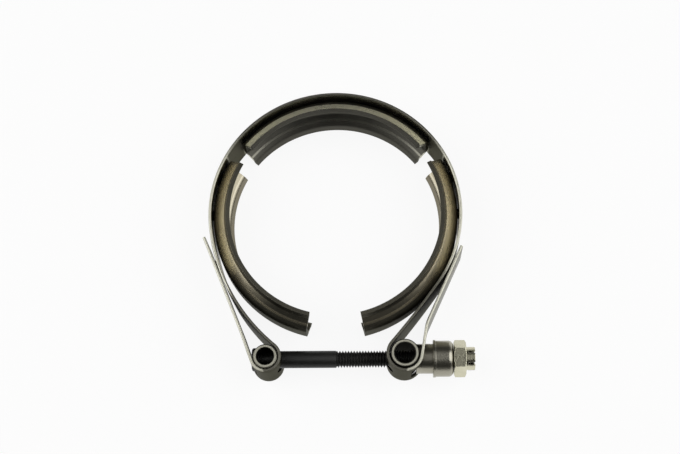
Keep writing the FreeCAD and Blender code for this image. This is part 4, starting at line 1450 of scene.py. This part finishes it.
@dataclass
class SpotWelds:
    """Round electrode marks on the strap's outside, with the nuggets under them.

    Args:
        slope: how much narrower a mark is at its top.
        mark_depth: height of the mark, most of it in the sheet.
        sink: how far the mark's middle lies under the sheet's outside.
        press: insets of the mark's top, each with how far the rest inside it rises.
    """

    radius: float = 45.0
    mark_radius: float = 2.1
    slope: float = 0.12
    mark_depth: float = 0.3
    sink: float = 0.08
    press: Tuple[Point2, ...] = ((0.16, 0.02), (0.18, -0.02), (0.22, -0.035), (0.5, 0.0))
    nugget_radius: float = 2.0
    rows: Tuple[WeldRow, ...] = (
        WeldRow("upper_welds", Body.RING, (54.0, 78.0, 102.0, 126.0)),
        WeldRow("bolt_side_welds", Body.BOLT_JAW, (160.0, 178.0)),
        WeldRow("nut_side_welds", Body.NUT_JAW, (20.0, 2.0)),
        WeldRow("bolt_side_tail_weld", Body.BOLT_JAW, (202.0,), 1.9, (-0.1, 1.0)),
        WeldRow("nut_side_tail_weld", Body.NUT_JAW, (-24.6,), 1.35, (-0.1, 0.45)),
    )

    def _wrap(self, verts: Iterable, angle: float, lift: float = 0.0) -> None:
        """Lay a flat shape round the ring: its z becomes the height over the strap.

        Args:
            verts: the shape's vertices.
            angle: where its middle comes to lie, in degrees.
            lift: how far over the strap its zero lies.
        """
        for vert in verts:
            turn = math.radians(angle) + vert.co.x / self.radius
            reach = self.radius + lift + vert.co.z
            vert.co = Vector((reach * math.cos(turn), reach * math.sin(turn), vert.co.y))

    def _mark(self, bm: Mesh, angle: float, outside: float) -> None:
        """Press one electrode mark: a raised lip round a shallow flat.

        Args:
            bm: the bmesh to press it in.
            angle: where it sits round the ring, in degrees.
            outside: the welded sheet's outside, over the ring's strap.
        """
        verts = bmesh.ops.create_cone(
            bm, cap_ends=True, segments=40, radius1=self.mark_radius,
            radius2=self.mark_radius - self.slope, depth=self.mark_depth)["verts"]
        bmesh.ops.translate(bm, vec=(0.0, 0.0, -self.sink), verts=verts)
        top = max({f for v in verts for f in v.link_faces},
                  key=lambda f: f.calc_center_median().z)
        pressed = set(verts)
        for inset, rise in self.press:
            before = set(bm.verts)
            bmesh.ops.inset_region(bm, faces=[top], thickness=inset, depth=0.0,
                                   use_even_offset=True)
            pressed |= set(bm.verts) - before
            for vert in top.verts:
                vert.co.z += rise
        self._wrap(pressed, angle, outside)

    def _nugget(self, bm: Mesh, angle: float, seam: Point2) -> None:
        """Melt one nugget into the joint between two sheets.

        Args:
            bm: the bmesh to melt it in.
            angle: where it sits round the ring, in degrees.
            seam: where it begins and ends, over the outside of the ring's strap.
        """
        low, high = seam
        verts = bmesh.ops.create_cone(
            bm, cap_ends=True, segments=28, radius1=self.nugget_radius,
            radius2=self.nugget_radius, depth=high - low)["verts"]
        bmesh.ops.translate(bm, vec=(0.0, 0.0, (low + high) / 2.0), verts=verts)
        self._wrap(verts, angle)

    def build(self, wardrobe: Wardrobe) -> None:
        """Make each row of welds as one piece that rides with its body.

        Args:
            wardrobe: where the finish comes from.
        """
        for row in self.rows:
            bm = bmesh.new()
            for angle in row.angles:
                self._mark(bm, angle, row.outside)
                self._nugget(bm, angle, row.seam)
            item = finish_mesh(bm, row.name)
            wardrobe.dress_piece(item, Slot.STRAP, WELD_TINT)
            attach(item, row.body.value)


# Studio.


@dataclass(frozen=True)
class Softbox:
    """A rectangular lamp that faces the clamp.

    Args:
        name: the lamp's name.
        place: where it stands, in metres.
        size: width and height in metres.
        power: watts.
    """

    name: str
    place: Point3
    size: Point2
    power: float

    def build(self) -> None:
        """Add the lamp."""
        lamp = bpy.data.lights.new(self.name, "AREA")
        lamp.shape = "RECTANGLE"
        lamp.size, lamp.size_y = self.size
        lamp.energy = self.power
        item = bpy.data.objects.new(self.name, lamp)
        item.location = self.place
        item.rotation_euler = (-Vector(self.place)).to_track_quat("-Z", "Y").to_euler()
        bpy.context.scene.collection.objects.link(item)


@dataclass
class Studio:
    """The pale floor, the soft light and the camera at the photograph's angle.

    Args:
        floor_tone: how pale the floor is.
        floor_tooth: how much its fine tooth varies that.
        behind: directions along Y between which the front fades into the horizon.
        overhead: directions along Z between which both fade into the zenith.
        glow_share: how much of the floor that eyes and metal see is plain white.
    """

    floor_level: float = -0.0095
    floor_size: float = 6.0
    floor_tone: float = 0.93
    floor_tooth: float = 0.02
    camera_place: Point3 = (0.014785, -0.146929, 0.482581)
    camera_turn: Point3 = (16.5900, 1.5844, -0.0280)
    lens: float = 74.1176
    horizon: Colour = (0.5, 0.5, 0.48)
    front: Colour = (0.10, 0.10, 0.095)
    zenith: Colour = (0.022, 0.022, 0.02)
    behind: Point2 = (-0.6, 0.4)
    overhead: Point2 = (0.03, 0.4)
    glow_share: float = 0.9
    boxes: Tuple[Softbox, ...] = (
        Softbox("left_box", (-0.47, 0.0, 0.49), (0.66, 0.78), 3.3),
        Softbox("right_box", (0.47, 0.0, 0.49), (0.66, 0.78), 3.3),
        Softbox("front_strip", (0.0, -0.6, 0.03), (0.55, 0.02), 0.06),
    )

    def _paper(self) -> bpy.types.Material:
        """Make the floor's paper, which eyes and metal see as white.

        Returns:
            The paper's material.
        """
        material = bpy.data.materials.new("studio_floor")
        material.use_nodes = True
        material.node_tree.nodes.clear()
        kit = Nodes(material.node_tree)
        paper = kit.add("BsdfPrincipled")
        paper.inputs["Roughness"].default_value = 0.85
        paper.inputs["Specular IOR Level"].default_value = 0.1
        place = kit.add("TexCoord").outputs["Object"]
        tooth = kit.noise(place, 900.0, detail=3.0, roughness=0.6)
        shade = kit.math("MULTIPLY_ADD", tooth, self.floor_tooth, self.floor_tone)
        kit.wire(paper.inputs["Base Color"], kit.join(shade, shade, shade))
        glow = kit.add("Emission")
        glow.inputs["Strength"].default_value = 1.0
        path = kit.add("LightPath").outputs
        mirrored = kit.math("ADD", path["Is Glossy Ray"], path["Is Transmission Ray"])
        seen = kit.math("ADD", path["Is Camera Ray"], mirrored, clamp=True)
        blend = kit.add("MixShader")
        kit.wire(blend.inputs[0], kit.times(seen, self.glow_share))
        kit.wire(blend.inputs[1], paper.outputs[0])
        kit.wire(blend.inputs[2], glow.outputs[0])
        kit.wire(kit.add("OutputMaterial").inputs["Surface"], blend.outputs[0])
        return material

    def floor(self) -> None:
        """Lay the pale floor that keeps the clamp's shadow."""
        bm = bmesh.new()
        bmesh.ops.create_grid(bm, x_segments=1, y_segments=1, size=self.floor_size / 2.0 / MM)
        bmesh.ops.translate(bm, vec=(0.0, 0.0, self.floor_level / MM), verts=bm.verts)
        item = finish_mesh(bm, "studio_floor")
        item.data.materials.append(self._paper())
        LOG.info("laid the floor")

    def sky(self) -> None:
        """Fill the world with soft light, brighter at the horizon than overhead."""
        world = bpy.data.worlds.new("studio_room")
        bpy.context.scene.world = world
        world.use_nodes = True
        world.node_tree.nodes.clear()
        kit = Nodes(world.node_tree)
        _, away, up = kit.split(kit.add("TexCoord").outputs["Generated"])
        low = kit.mix(kit.rise(away, *self.behind), self.front, self.horizon)
        back = kit.add("Background")
        kit.wire(back.inputs["Color"],
                 kit.mix(kit.rise(up, *self.overhead), low, self.zenith))
        kit.wire(kit.add("OutputWorld").inputs["Surface"], back.outputs[0])

    def camera(self) -> None:
        """Stand the camera where the photograph was taken from."""
        lens = bpy.data.cameras.new("photo_camera")
        lens.lens = self.lens
        lens.sensor_width = 36.0
        lens.clip_start = 0.01
        item = bpy.data.objects.new("photo_camera", lens)
        item.location = self.camera_place
        item.rotation_euler = [math.radians(a) for a in self.camera_turn]
        bpy.context.scene.collection.objects.link(item)
        bpy.context.scene.camera = item

    def build(self) -> None:
        """Set up the whole studio."""
        self.camera()
        self.sky()
        self.floor()
        for box in self.boxes:
            box.build()
        bpy.context.scene.view_settings.view_transform = "Standard"


def main() -> None:
    """Build the clamp's pieces in order, dress its nodes and set up the studio."""
    logging.basicConfig(level=logging.INFO, format="%(name)s: %(message)s")
    wardrobe = Wardrobe()
    Studio().build()
    Strap().build(wardrobe)
    TrunnionBolt().build(wardrobe)
    SpotWelds().build(wardrobe)
    for node, finish in NODE_FINISHES.items():
        wardrobe.dress_node(node, finish)


if __name__ == "__main__":
    main()
